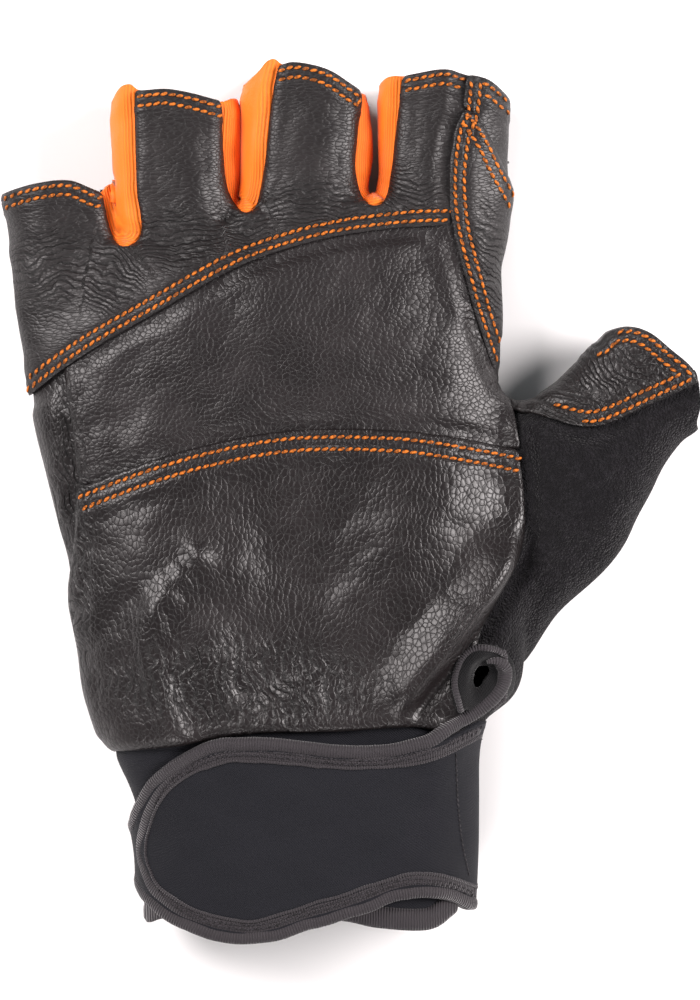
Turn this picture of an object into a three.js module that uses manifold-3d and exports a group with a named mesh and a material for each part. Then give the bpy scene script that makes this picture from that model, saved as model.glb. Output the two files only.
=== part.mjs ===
// Half-finger leather climbing glove for a right hand, lying on its back with the palm up.
// Millimetres. +X runs across the palm to the thumb, +Y from the wrist to the fingers, +Z up out of the palm.
// Tables hold shares: across as a share of a width, along as a share of a length.
import * as THREE from "three";
import { mergeVertices } from "three/addons/utils/BufferGeometryUtils.js";
import Module from "manifold-3d";

// Driving dimensions
const palmWidth = 103.5;
const palmLength = 126; // from the wrist seam to the root of the index finger
const palmThickness = 30;
const fingerThickness = 23;
const thumbWidth = 30;
const thumbLength = 58;
const thumbThickness = 25;
const thumbLean = 38.3; // degrees, to the right of the fingers
const cuffLength = 41;
const wallThickness = 1.6;
const flattening = 1.5; // how far the back is pressed flat by the table it lies on
const backSeamHeight = 8; // where the palm leather meets the back panel, above the table
const seamGap = 0.3;
const strapLength = 80;
const strapWidth = 47.6;
const strapThickness = 2.8;
const bindingWidth = 5;
const bindingRise = 0.7; // how far a binding stands proud of what it edges
const keyholeBindingWidth = 3.2;
const slitWidth = 1.2;
const notchDepth = 1.8; // the strips' crotch below the leather edges' last points
const closureLength = 27;
const closureWidth = 22;
const closureThickness = 1.1;

// Leather colours and the other finishes
const finishes = {
  leather: { color: 0x2b2726, roughness: 0.48, metalness: 0 },
  grainLeather: { color: 0x25211f, roughness: 0.58, metalness: 0 },
  terry: { color: 0x17181b, roughness: 0.95, metalness: 0 },
  knit: { color: 0x1d1e21, roughness: 0.9, metalness: 0 },
  stretchFabric: { color: 0xff7a18, roughness: 0.75, metalness: 0 },
  neoprene: { color: 0x2f3238, roughness: 0.85, metalness: 0 },
  binding: { color: 0x3a3839, roughness: 0.9, metalness: 0 },
};

const wasm = await Module();
wasm.setup();

const sectionSteps = 36; // corners of one section of the palm
const fingerSteps = 20;
const facetTolerance = 0.03; // facets this close to flat are merged
const curveSteps = 2; // straight runs between two points of a seam
const squareness = 2.4; // 2 is an ellipse, more is squarer
const tall = 3 * palmThickness; // reaches past everything, for cutting
const far = 3 * palmWidth;

// Sections of the hand from the cuff to the finger roots: edge points on the left and right, and the height.
// Cuff rows are shares of palmWidth and cuffLength, palm rows of palmWidth and palmLength.
const cuffSections = [
  { left: [-0.451, -1.135], right: [0.256, -1.135], high: 0.97 },
  { left: [-0.453, -0.629], right: [0.26, -0.629], high: 0.96 },
  { left: [-0.458, -0.292], right: [0.262, -0.292], high: 0.95 },
  { left: [-0.48, -0.096], right: [0.273, -0.096], high: 0.95 },
];
const palmSections = [
  { left: [-0.516, 0.0], right: [0.284, 0.0], high: 0.97 },
  { left: [-0.556, 0.022], right: [0.298, 0.022], high: 0.99 },
  { left: [-0.58, 0.088], right: [0.344, 0.088], high: 1.0 },
  { left: [-0.59, 0.134], right: [0.366, 0.134], high: 1.0 },
  { left: [-0.602, 0.179], right: [0.378, 0.179], high: 1.0 },
  { left: [-0.613, 0.225], right: [0.386, 0.225], high: 0.99 },
  { left: [-0.624, 0.27], right: [0.391, 0.27], high: 0.98 },
  { left: [-0.644, 0.38], right: [0.391, 0.38], high: 0.95 },
  { left: [-0.676, 0.489], right: [0.382, 0.489], high: 0.92 },
  { left: [-0.709, 0.599], right: [0.364, 0.599], high: 0.89 },
  { left: [-0.722, 0.69], right: [0.338, 0.69], high: 0.87 },
  { left: [-0.738, 0.76], right: [0.338, 0.8], high: 0.86 },
  { left: [-0.751, 0.836], right: [0.34, 0.927], high: 0.83 },
  { left: [-0.757, 0.89], right: [0.347, 1.04], high: 0.76 },
];

// Fingers: root is a share of the palm, hem and leather edges are shares of the finger's width and length.
// The hem runs over both stretch strips; the leather edges stand beside the strips.
const fingers = [
  {
    name: "little", root: [-0.631, 0.909], width: 26.5, length: 15.6, lean: -9, high: 0.93,
    hem: [[-0.596, 0.964], [-0.151, 1.023], [0.137, 0.991], [0.371, 0.764], [0.462, 0.889], [0.563, 0.743]],
    rightEdge: [[0.39, 0.968], [0.378, 0.837], [0.383, 0.523], [0.426, 0.035]],
  },
  {
    name: "ring", root: [-0.382, 0.945], width: 29.2, length: 31.7, lean: -2.5, high: 1.0,
    hem: [[-0.543, 0.849], [-0.392, 1.046], [-0.312, 1.064], [-0.259, 1.011], [-0.046, 1.017], [0.18, 0.972],
      [0.39, 0.913], [0.454, 0.939], [0.562, 0.877]],
    leftEdge: [[-0.255, 1.098], [-0.29, 0.875], [-0.3, 0.324], [-0.284, -0.003]],
    rightEdge: [[0.386, 1], [0.379, 0.674], [0.393, 0.318], [0.465, 0.155]],
  },
  {
    name: "middle", root: [-0.098, 0.973], width: 29, length: 34, lean: 0, high: 1.02,
    hem: [[-0.587, 0.75], [-0.381, 0.939], [-0.286, 1.034], [-0.23, 1.041], [-0.198, 1], [-0.079, 1.02],
      [0.19, 0.966], [0.437, 0.831], [0.492, 0.838], [0.54, 0.777]],
    leftEdge: [[-0.198, 1.047], [-0.27, 0.743], [-0.317, 0.358], [-0.381, 0.074]],
    rightEdge: [[0.444, 0.885], [0.405, 0.527], [0.389, 0.297], [0.452, 0.101]],
  },
  {
    name: "index", root: [0.211, 0.991], width: 30.8, length: 30.8, lean: 0, high: 1.0,
    hem: [[-0.56, 0.799], [-0.44, 0.94], [-0.366, 0.963], [-0.306, 0.955], [-0.015, 1], [0.157, 0.963],
      [0.321, 0.925], [0.507, 0.799], [0.619, 0.754]],
    leftEdge: [[-0.306, 1.007], [-0.358, 0.59], [-0.396, 0.254], [-0.44, 0.037]],
  },
];
// One finger's sections from inside the palm past the hem: below its root as a share of palmWidth, above it as
// a share of the finger's length, wide of the finger's width, low and high of fingerThickness.
const fingerSections = [
  { below: 0.3, above: 0, wide: 0.5, low: 0.1, high: 0.92 },
  { below: 0.1, above: 0, wide: 0.92, low: 0, high: 1.0 },
  { below: 0, above: 0.08, wide: 1.07, low: 0.02, high: 1.0 },
  { below: 0, above: 0.25, wide: 1.0, low: 0.03, high: 1.0 },
  { below: 0, above: 0.6, wide: 0.99, low: 0.07, high: 0.99 },
  { below: 0, above: 1.0, wide: 1.01, low: 0.12, high: 1.0 },
  { below: 0, above: 1.5, wide: 1.01, low: 0.17, high: 1.02 },
];

// Thumb: its base is a share of the palm, the rest are shares of thumbWidth and thumbLength from the base.
const thumbBase = [0.344, 0.297];
const thumbSections = [
  { left: [-0.849, -0.118], right: [0.35, -0.389], low: 0.06, high: 0.88 },
  { left: [-0.741, 0.067], right: [0.524, -0.227], low: 0.02, high: 0.98 },
  { left: [-0.748, 0.252], right: [0.461, 0.051], low: 0.02, high: 1.02 },
  { left: [-0.804, 0.416], right: [0.555, 0.322], low: 0.04, high: 1.02 },
  { left: [-0.802, 0.569], right: [0.491, 0.544], low: 0.08, high: 1.0 },
  { left: [-0.69, 0.675], right: [0.414, 0.735], low: 0.12, high: 1.0 },
  { left: [-0.64, 0.847], right: [0.388, 0.887], low: 0.16, high: 1.01 },
  { left: [-0.609, 1.006], right: [0.429, 0.969], low: 0.18, high: 1.04 },
  { left: [-0.592, 1.251], right: [0.448, 1.245], low: 0.2, high: 1.08 },
];
const thumbHem = [[-0.715, 0.999], [-0.614, 0.984], [-0.601, 1.04], [-0.494, 1.104], [-0.334, 1.134],
  [-0.126, 1.132], [0.065, 1.129], [0.185, 1.102], [0.313, 1.038], [0.406, 0.965], [0.607, 0.981]];
const thumbSeam = [[-0.68, 0.598], [-0.497, 0.632], [-0.295, 0.679], [-0.158, 0.75],
  [0.005, 0.913], [0.147, 1.057], [0.241, 1.155]];

// Seams seen from above the palm, shares of palmWidth and palmLength. Where seams meet they share a point.
const knuckleAtSide = [-0.636, 0.69];
const knuckleAtIndex = [0.227, 0.951];
const heelAtSide = [-0.602, 0.473];
const heelAtThenar = [0.376, 0.543];
const indexAtWeb = [0.333, 0.668];
const thenarAtThumb = [0.364, 0.615];
const indexAtTip = [0.25, 1.165];
const keyholeTop = [0.276, 0.151];
const wristAtSide = [-0.57, -0.009];
const wristAtSlit = [0.24, 0.02];
const knuckleSeam = [[-0.822, 0.599], [-0.716, 0.644], knuckleAtSide, [-0.556, 0.732], [-0.422, 0.794],
  [-0.238, 0.878], [-0.064, 0.925], [0.111, 0.947], knuckleAtIndex];
const heelSeam = [heelAtSide, [-0.456, 0.518], [-0.289, 0.557], [-0.111, 0.58], [0.111, 0.578], [0.284, 0.558],
  heelAtThenar];
const indexSeam = [[0.262, 1.292], indexAtTip, [0.233, 1.128], [0.22, 1.046], knuckleAtIndex, [0.262, 0.836],
  [0.293, 0.754], indexAtWeb];
const sideSeam = [knuckleAtSide, [-0.615, 0.6], heelAtSide, [-0.61, 0.38], [-0.629, 0.234], [-0.6, 0.106],
  wristAtSide];
const thenarSeam = [indexAtWeb, thenarAtThumb, heelAtThenar, [0.387, 0.425], [0.371, 0.347], [0.327, 0.277],
  [0.289, 0.215], keyholeTop];
const slitSeam = [keyholeTop, [0.258, 0.078], wristAtSlit];
const tipSeam = [indexAtTip, [0.276, 1.153], [0.316, 1.104], [0.342, 1.06], [0.4, 0.98]];
const webEnd = [0.4, 0.679];
const wristEdge = [[-0.8, -0.03], wristAtSide, [-0.522, -0.004], [-0.369, 0.011], [-0.222, 0.031], [-0.033, 0.035],
  [0.144, 0.042], wristAtSlit, [0.378, -0.007], [0.556, -0.007]];
const keyholeLoop = [[0.24, 0.055], [0.249, 0.091], [0.262, 0.124], [0.28, 0.151], [0.307, 0.166],
  [0.331, 0.161], [0.342, 0.139], [0.333, 0.113], [0.307, 0.088]];

// Strap outline: shares of strapLength to the left of its sewn end and of strapWidth down from its top
const strapSewnEnd = 0.289; // share of palmWidth
const strapTop = 3.7; // above the wrist seam
const strapOutline = [[-0.12, -0.09], [0.006, -0.097], [0.066, -0.063], [0.147, -0.014], [0.267, 0.039],
  [0.391, 0.043], [0.552, 0.014], [0.672, 0], [0.767, 0.019], [0.862, 0.097], [0.943, 0.222], [0.986, 0.386],
  [1, 0.56], [0.986, 0.681], [0.954, 0.802], [0.891, 0.894], [0.793, 0.971], [0.687, 1], [0.592, 0.986],
  [0.486, 0.928], [0.374, 0.85], [0.273, 0.758], [0.187, 0.72], [0.106, 0.725], [0.029, 0.778], [-0.12, 0.88]];
const closurePlace = [0.69, 0.5]; // the closure's middle, in shares of the strap

// Dents and mounds of the palm side: middle and reach in palm shares, rise as a share of palmThickness
const mounds = [
  { name: "ball of the thumb", at: [0.24, 0.33], reach: [0.2, 0.2], rise: 0.1 },
  { name: "outer heel", at: [-0.42, 0.26], reach: [0.17, 0.22], rise: 0.07 },
  { name: "hollow of the palm", at: [-0.1, 0.36], reach: [0.2, 0.2], rise: -0.07 },
  { name: "knuckle pad", at: [-0.15, 0.76], reach: [0.4, 0.11], rise: 0.045 },
  { name: "dip under the fingers", at: [-0.2, 0.93], reach: [0.5, 0.05], rise: -0.03 },
];
// Folds and gathers: a line in palm shares, its width as a share of palmWidth, rise of palmThickness
const folds = [
  { name: "ridge to the ball of the thumb", from: [0.06, 0.04], to: [0.36, 0.36], width: 0.05, rise: 0.06 },
  { name: "crease beside the ridge", from: [-0.02, 0.12], to: [0.26, 0.42], width: 0.05, rise: -0.035 },
  { name: "heel gather one", from: [-0.42, 0.05], to: [-0.33, 0.2], width: 0.03, rise: -0.03 },
  { name: "heel gather two", from: [-0.3, 0.05], to: [-0.25, 0.23], width: 0.035, rise: 0.03 },
  { name: "heel gather three", from: [-0.18, 0.06], to: [-0.17, 0.2], width: 0.03, rise: -0.03 },
  { name: "heel gather four", from: [-0.06, 0.06], to: [-0.1, 0.24], width: 0.035, rise: 0.025 },
  { name: "outer edge crease", from: [-0.6, 0.04], to: [-0.6, 0.6], width: 0.025, rise: -0.04 },
  { name: "fold below the little finger", from: [-0.76, 0.92], to: [-0.5, 0.87], width: 0.03, rise: -0.035 },
  { name: "fold below the ring finger", from: [-0.5, 0.93], to: [-0.25, 0.95], width: 0.025, rise: -0.03 },
];

const palmPoint = ([across, along]) => new THREE.Vector2(across * palmWidth, along * palmLength);
const cuffPoint = ([across, along]) => new THREE.Vector2(across * palmWidth, along * cuffLength);

// A point in a finger's or the thumb's own shares, turned by its lean and set at its root
function leaningPoint([across, along], root, width, length, lean) {
  const point = new THREE.Vector2(across * width, along * length);
  return point.rotateAround(new THREE.Vector2(), THREE.MathUtils.degToRad(-lean)).add(palmPoint(root));
}
const fingerPoint = (finger, share) => leaningPoint(share, finger.root, finger.width, finger.length, finger.lean);
const thumbPoint = (share) => leaningPoint(share, thumbBase, thumbWidth, thumbLength, thumbLean);

function strapPoint([toLeft, down]) {
  return new THREE.Vector2(strapSewnEnd * palmWidth - toLeft * strapLength, strapTop - down * strapWidth);
}

function smooth(points, stepsPerSpan = curveSteps) {
  return new THREE.SplineCurve(points).getPoints((points.length - 1) * stepsPerSpan);
}

// Height that the palm's mounds and folds add at a place
function relief(place) {
  let height = 0;
  for (const { at, reach, rise } of mounds) {
    const across = (place.x / palmWidth - at[0]) / reach[0];
    const along = (place.y / palmLength - at[1]) / reach[1];
    height += rise * palmThickness * Math.exp(-(across * across + along * along));
  }
  for (const { from, to, width, rise } of folds) {
    const start = palmPoint(from);
    const run = palmPoint(to).sub(start);
    const share = THREE.MathUtils.clamp(place.clone().sub(start).dot(run) / run.lengthSq(), 0, 1);
    const away = place.distanceTo(start.addScaledVector(run, share)) / (width * palmWidth);
    height += rise * palmThickness * Math.exp(-away * away);
  }
  return height;
}

function solidOf(geometry) {
  geometry.deleteAttribute("normal");
  geometry.deleteAttribute("uv");
  const merged = mergeVertices(geometry, 1e-5);
  return new wasm.Manifold(new wasm.Mesh({
    numProp: 3,
    vertProperties: Float32Array.from(merged.attributes.position.array),
    triVerts: Uint32Array.from(merged.index.array),
  }));
}

// A closed tube through upright sections, each between a left and a right point, grown by a distance
function tube(sections, steps, grow) {
  const positions = [];
  const corners = [];
  const floor = Math.max(0, -grow);
  for (const { left, right, low, high } of sections) {
    const middle = left.clone().add(right).multiplyScalar(0.5);
    const direction = right.clone().sub(left).normalize();
    const halfWidth = left.distanceTo(right) / 2 + grow;
    const halfHeight = (high - low) / 2 + grow;
    for (let step = 0; step < steps; step += 1) {
      const angle = (2 * Math.PI * step) / steps;
      const across = Math.sign(Math.cos(angle)) * Math.abs(Math.cos(angle)) ** (2 / squareness);
      const up = Math.sign(Math.sin(angle)) * Math.abs(Math.sin(angle)) ** (2 / squareness);
      const place = middle.clone().addScaledVector(direction, halfWidth * across);
      const lift = relief(place) * Math.max(0, up);
      const height = (low + high) / 2 + halfHeight * up + lift;
      positions.push(place.x, place.y, Math.max(floor, height));
    }
  }
  const lastRing = (sections.length - 1) * steps;
  for (let ring = 0; ring < lastRing; ring += steps) {
    for (let step = 0; step < steps; step += 1) {
      const next = (step + 1) % steps;
      corners.push(ring + step, ring + steps + step, ring + steps + next);
      corners.push(ring + step, ring + steps + next, ring + next);
    }
  }
  for (let step = 1; step < steps - 1; step += 1) {
    corners.push(0, step, step + 1);
    corners.push(lastRing, lastRing + step + 1, lastRing + step);
  }
  const geometry = new THREE.BufferGeometry();
  geometry.setAttribute("position", new THREE.Float32BufferAttribute(positions, 3));
  geometry.setIndex(corners);
  return solidOf(geometry);
}

function palmTube(grow) {
  const cuffRows = cuffSections.map((row) => ({
    left: cuffPoint(row.left), right: cuffPoint(row.right), low: -flattening, high: row.high * palmThickness,
  }));
  const palmRows = palmSections.map((row) => ({
    left: palmPoint(row.left), right: palmPoint(row.right), low: -flattening, high: row.high * palmThickness,
  }));
  const last = palmRows[palmRows.length - 1];
  const inward = new THREE.Vector2(0, Math.min(0, grow));
  last.left.add(inward);
  last.right.add(inward);
  return tube([...cuffRows, ...palmRows], sectionSteps, grow);
}

function fingerTube(finger, grow) {
  const rows = fingerSections.map((row) => {
    const along = row.above - (row.below * palmWidth) / finger.length;
    const side = row.wide / 2;
    return {
      left: fingerPoint(finger, [-side, along]),
      right: fingerPoint(finger, [side, along]),
      low: row.low * fingerThickness - (row.low > 0 ? 0 : flattening),
      high: row.high * finger.high * fingerThickness,
    };
  });
  return tube(rows, fingerSteps, grow);
}

function thumbTube(grow) {
  const rows = thumbSections.map((row) => ({
    left: thumbPoint(row.left),
    right: thumbPoint(row.right),
    low: row.low * thumbThickness,
    high: row.high * thumbThickness,
  }));
  return tube(rows, fingerSteps, grow);
}

// The whole hand's solid, grown outwards or inwards by a distance
function handSolid(grow) {
  return [palmTube(grow), ...fingers.map((finger) => fingerTube(finger, grow)), thumbTube(grow)]
    .reduce((whole, piece) => whole.add(piece));
}

// An upright block over an outline, between two heights
function prism(outline, bottom = -tall, top = tall) {
  const geometry = new THREE.ExtrudeGeometry(new THREE.Shape(outline), {
    depth: top - bottom, bevelEnabled: false, steps: 1,
  });
  geometry.translate(0, 0, bottom);
  return solidOf(geometry);
}

// A line moved to its left by a distance
function besideLine(points, distance) {
  return points.map((point, index) => {
    const before = points[Math.max(0, index - 1)];
    const after = points[Math.min(points.length - 1, index + 1)];
    const run = after.clone().sub(before).normalize();
    return point.clone().add(new THREE.Vector2(-run.y, run.x).multiplyScalar(distance));
  });
}

// A closed outline moved inwards by a distance, or outwards by a negative one
function inset(outline, distance) {
  const turn = Math.sign(THREE.ShapeUtils.area(outline)) * distance;
  return outline.map((point, index) => {
    const before = outline[(index + outline.length - 1) % outline.length];
    const after = outline[(index + 1) % outline.length];
    const run = point.clone().sub(before).normalize().add(after.clone().sub(point).normalize()).normalize();
    return point.clone().add(new THREE.Vector2(-run.y, run.x).multiplyScalar(turn));
  });
}

// The biggest of the bodies that a cut leaves, without its crumbs
function largestBody(solid) {
  return solid.decompose().reduce((best, body) => (body.volume() > best.volume() ? body : best));
}

// The stretch of a seam between two points of its table
function stretch(seam, from = seam[0], to = seam[seam.length - 1]) {
  const line = smooth(seam.map(palmPoint));
  return line.slice(seam.indexOf(from) * curveSteps, seam.indexOf(to) * curveSteps + 1);
}

// One closed outline out of lines that follow each other, without the points that two of them share
function joined(...lines) {
  const points = lines.flat();
  return points.filter((point, index) => point.distanceTo(points.at(index - 1)) > seamGap);
}

const reversed = (line) => [...line].reverse();
const beyond = (across, along) => new THREE.Vector2(across * palmWidth, along * palmLength);

const outside = handSolid(0);
const inside = handSolid(-wallThickness);
const thumbSeamLine = smooth(thumbSeam.map(thumbPoint));
const thumbHemLine = smooth(thumbHem.map(thumbPoint));
const hemLine = fingers.flatMap((finger) => finger.hem.map((share) => fingerPoint(finger, share)));
const hemStart = hemLine[0];
const hemEnd = hemLine[hemLine.length - 1];
const thumbHemEnd = thumbHemLine[thumbHemLine.length - 1];
const webGap = beyond(0.44, 0.82); // the open place between the index finger and the thumb

// Everything inside the hems and the cuff's end
const gloveRegion = prism(joined(
  [new THREE.Vector2(-far, -cuffLength), new THREE.Vector2(-far, hemStart.y)],
  hemLine,
  [new THREE.Vector2(webGap.x, hemEnd.y), webGap],
  thumbHemLine,
  [new THREE.Vector2(far, thumbHemEnd.y), new THREE.Vector2(far, -cuffLength)],
));
const shell = outside.subtract(inside).intersect(gloveRegion);
const everywhere = [beyond(-3, -3), beyond(3, -3), beyond(3, 3), beyond(-3, 3)];
const palmSide = shell.intersect(prism(everywhere, backSeamHeight + seamGap / 2, tall));
const backSide = shell.intersect(prism(everywhere, -tall, backSeamHeight - seamGap / 2));

// Notches between the fingers, where the stretch strips show: down one finger's edge and up the next one's
const notches = fingers.slice(1).map((finger, index) => {
  const before = fingers[index];
  const down = before.rightEdge.map((share) => fingerPoint(before, share));
  const up = reversed(finger.leftEdge.map((share) => fingerPoint(finger, share)));
  const bottom = down[down.length - 1].clone().add(up[0]).multiplyScalar(0.5);
  bottom.y = Math.min(down[down.length - 1].y, up[0].y) - notchDepth;
  const line = smooth([...down, bottom, ...up]);
  const over = [new THREE.Vector2(line[line.length - 1].x, far), new THREE.Vector2(line[0].x, far)];
  return { name: `${before.name}_${finger.name}_fourchette`, outline: [...line, ...over] };
});
const allNotches = notches.map(({ outline }) => prism(inset(outline, -seamGap / 2)))
  .reduce((whole, notch) => whole.add(notch));

// The keyhole at the top of the slit, with a binding round it, and the slit down through the cuff
const keyholeLine = smooth(keyholeLoop.map(palmPoint));
const keyholeOuter = besideLine(keyholeLine, keyholeBindingWidth / 2);
const keyholeInner = besideLine(keyholeLine, -keyholeBindingWidth / 2);
const keyholeRing = [...keyholeOuter, ...reversed(keyholeInner)];
const keyholeCut = prism(inset(keyholeOuter, -seamGap), backSeamHeight)
  .add(prism(inset(keyholeRing, -seamGap), backSeamHeight));
const slitLine = slitSeam.map(palmPoint);
slitLine.push(new THREE.Vector2(slitLine[slitLine.length - 1].x, -far));
const slit = prism([...besideLine(slitLine, -slitWidth / 2), ...reversed(besideLine(slitLine, slitWidth / 2))],
  backSeamHeight);
const openings = keyholeCut.add(slit);

// Leather panels of the palm side, each between its seams
const palmPanels = [
  {
    name: "finger_panel",
    finish: finishes.leather,
    outline: joined(stretch(knuckleSeam), reversed(stretch(indexSeam, indexSeam[0], knuckleAtIndex)),
      [beyond(-1, 1.3)]),
  },
  {
    name: "index_side_panel",
    finish: finishes.leather,
    outline: joined(stretch(indexSeam, indexAtTip, indexAtWeb), [beyond(...webEnd), beyond(0.45, 0.8)],
      [beyond(0.45, 0.93)], reversed(stretch(tipSeam))),
  },
  {
    name: "index_tip_panel",
    finish: finishes.leather,
    outline: joined(reversed(stretch(indexSeam, indexSeam[0], indexAtTip)), [beyond(0.45, 1.3)],
      [beyond(0.45, 0.93)], reversed(stretch(tipSeam))),
  },
  {
    name: "palm_patch",
    finish: finishes.grainLeather,
    outline: joined(stretch(sideSeam, knuckleAtSide, heelAtSide), stretch(heelSeam),
      reversed(stretch(thenarSeam, indexAtWeb, heelAtThenar)),
      reversed(stretch(indexSeam, knuckleAtIndex, indexAtWeb)), reversed(stretch(knuckleSeam, knuckleAtSide))),
  },
  {
    name: "heel_panel",
    finish: finishes.leather,
    outline: joined(stretch(heelSeam), stretch(thenarSeam, heelAtThenar), stretch(slitSeam),
      reversed(stretch(wristEdge, wristAtSide, wristAtSlit)), reversed(stretch(sideSeam, heelAtSide))),
  },
  {
    name: "outer_side_panel",
    finish: finishes.leather,
    outline: joined(stretch(knuckleSeam, knuckleSeam[0], knuckleAtSide), stretch(sideSeam),
      reversed(stretch(wristEdge, wristEdge[0], wristAtSide))),
  },
];

// The thumb's two pieces go all the way round it
const thumbLeatherOutline = joined(stretch(thenarSeam, indexAtWeb, thenarAtThumb), thumbSeamLine, [beyond(1, 1), beyond(0.5, 0.9)],
  [palmPoint(webEnd)]);
const thumbTerryOutline = joined(stretch(thenarSeam, thenarAtThumb), stretch(slitSeam), stretch(wristEdge, wristAtSlit),
  [beyond(1, 0), beyond(1, 0.8)], reversed(thumbSeamLine));
const cuffOutline = joined(stretch(wristEdge), [beyond(1, 0), beyond(1, -1), beyond(-1, -1), beyond(-1, 0)]);

// Straps and bindings lie in layers over the hand's surface
const layerBetween = (low, high) => handSolid(high).subtract(handSolid(low));
const strapEdge = smooth(strapOutline.map(strapPoint));
const strapInner = besideLine(strapEdge, bindingWidth);
const strapTopLayer = seamGap + strapThickness;
const strapSide = prism(everywhere, backSeamHeight + seamGap / 2, tall);
const strapRegion = prism(inset(strapInner, seamGap / 2)).intersect(strapSide);
const strapBindingRegion = prism(inset([...strapEdge, ...reversed(strapInner)], seamGap / 2)).intersect(strapSide);
const closureMiddle = strapPoint(closurePlace);

// The closure's rectangle, grown by a distance
function closureRegion(grow) {
  const reach = new THREE.Vector2(closureLength / 2 + grow, closureWidth / 2 + grow);
  const outline = [[-1, -1], [1, -1], [1, 1], [-1, 1]]
    .map(([across, along]) => closureMiddle.clone().add(new THREE.Vector2(across * reach.x, along * reach.y)));
  return prism(outline, backSeamHeight);
}

const cuffBindingStart = bindingWidth - cuffLength;
const cuffBindingRegion = (edge) => prism([
  new THREE.Vector2(-far, -far), new THREE.Vector2(far, -far),
  new THREE.Vector2(far, edge), new THREE.Vector2(-far, edge),
]);

const glove = new THREE.Group();

function addPiece(name, solid, finish) {
  const mesh = largestBody(solid.asOriginal().simplify(facetTolerance)).getMesh();
  const geometry = new THREE.BufferGeometry();
  geometry.setAttribute("position", new THREE.Float32BufferAttribute(mesh.vertProperties, 3));
  geometry.setIndex(Array.from(mesh.triVerts));
  geometry.computeVertexNormals();
  const piece = new THREE.Mesh(geometry, new THREE.MeshStandardMaterial(finish));
  piece.name = name;
  glove.add(piece);
}

for (const { name, finish, outline } of palmPanels) {
  const region = prism(inset(outline, seamGap / 2));
  addPiece(name, palmSide.intersect(region).subtract(allNotches).subtract(openings), finish);
}
for (const { name, outline } of notches) {
  addPiece(name, palmSide.intersect(prism(inset(outline, seamGap / 2))), finishes.stretchFabric);
}
const thumbLeather = prism(inset(thumbLeatherOutline, seamGap / 2));
const thumbTerry = prism(inset(thumbTerryOutline, seamGap / 2));
addPiece("thumb_leather", shell.intersect(thumbLeather), finishes.leather);
addPiece("thumb_terry", shell.intersect(thumbTerry).subtract(openings), finishes.terry);
const otherRegions = prism(inset(thumbLeatherOutline, -seamGap / 2))
  .add(prism(inset(thumbTerryOutline, -seamGap / 2)))
  .add(prism(inset(cuffOutline, -seamGap / 2)));
addPiece("back_panel", backSide.subtract(otherRegions), finishes.knit);
const cuff = shell.intersect(prism(inset(cuffOutline, seamGap / 2))).subtract(openings);
addPiece("cuff_band", cuff.subtract(cuffBindingRegion(cuffBindingStart + seamGap / 2)), finishes.neoprene);
const cuffRim = outside.subtract(handSolid(-wallThickness - bindingRise)).intersect(gloveRegion).subtract(openings);
addPiece("cuff_binding", cuffRim.intersect(cuffBindingRegion(cuffBindingStart - seamGap / 2)), finishes.binding);
const closurePocket = layerBetween(0, 2 * seamGap + closureThickness).intersect(closureRegion(seamGap));
const strapLayer = layerBetween(seamGap, strapTopLayer);
addPiece("wrist_strap", strapLayer.intersect(strapRegion).subtract(closurePocket), finishes.neoprene);
const strapBindingLayer = layerBetween(seamGap, strapTopLayer + bindingRise);
addPiece("strap_binding", strapBindingLayer.intersect(strapBindingRegion), finishes.binding);
const closureLayer = layerBetween(seamGap, seamGap + closureThickness);
addPiece("closure_patch", closureLayer.intersect(closureRegion(0)), finishes.neoprene);
const keyholeLayer = layerBetween(-wallThickness, bindingRise).subtract(prism(inset(strapEdge, -seamGap)));
addPiece("keyhole_binding", keyholeLayer.intersect(prism(keyholeRing, backSeamHeight + seamGap)),
  finishes.binding);

// The origin is at the middle of the glove's box, on the table it lies on
const box = new THREE.Box3().setFromObject(glove);
const middle = box.getCenter(new THREE.Vector3());
glove.position.set(-middle.x, -middle.y, -box.min.z);

export default glove;
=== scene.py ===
import math

import bmesh
import bpy
import numpy as np
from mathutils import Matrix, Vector
from mathutils.bvhtree import BVHTree


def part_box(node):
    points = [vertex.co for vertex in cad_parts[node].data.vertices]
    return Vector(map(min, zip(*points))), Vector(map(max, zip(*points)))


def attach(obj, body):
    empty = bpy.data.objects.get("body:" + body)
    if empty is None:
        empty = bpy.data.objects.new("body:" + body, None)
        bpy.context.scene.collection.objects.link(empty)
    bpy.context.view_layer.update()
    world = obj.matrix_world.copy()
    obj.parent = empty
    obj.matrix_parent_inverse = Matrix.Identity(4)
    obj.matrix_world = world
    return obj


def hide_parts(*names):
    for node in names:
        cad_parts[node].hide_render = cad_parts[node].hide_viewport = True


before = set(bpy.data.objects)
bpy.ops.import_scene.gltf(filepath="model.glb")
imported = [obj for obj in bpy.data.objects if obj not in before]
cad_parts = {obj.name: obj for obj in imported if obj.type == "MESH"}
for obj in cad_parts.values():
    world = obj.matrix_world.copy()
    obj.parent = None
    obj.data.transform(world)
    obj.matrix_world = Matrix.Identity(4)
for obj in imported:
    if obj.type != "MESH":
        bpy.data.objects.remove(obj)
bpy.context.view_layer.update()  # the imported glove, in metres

bl_info = {
    "name": "Climbing glove",
    "version": (1, 0, 0),
    "blender": (4, 5, 0),
    "location": "View3D > Sidebar > Glove",
    "description": "Builds a half-finger leather climbing glove over its packed solids",
    "category": "Object",
}

BODY = "root"
MM = 0.001

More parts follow.
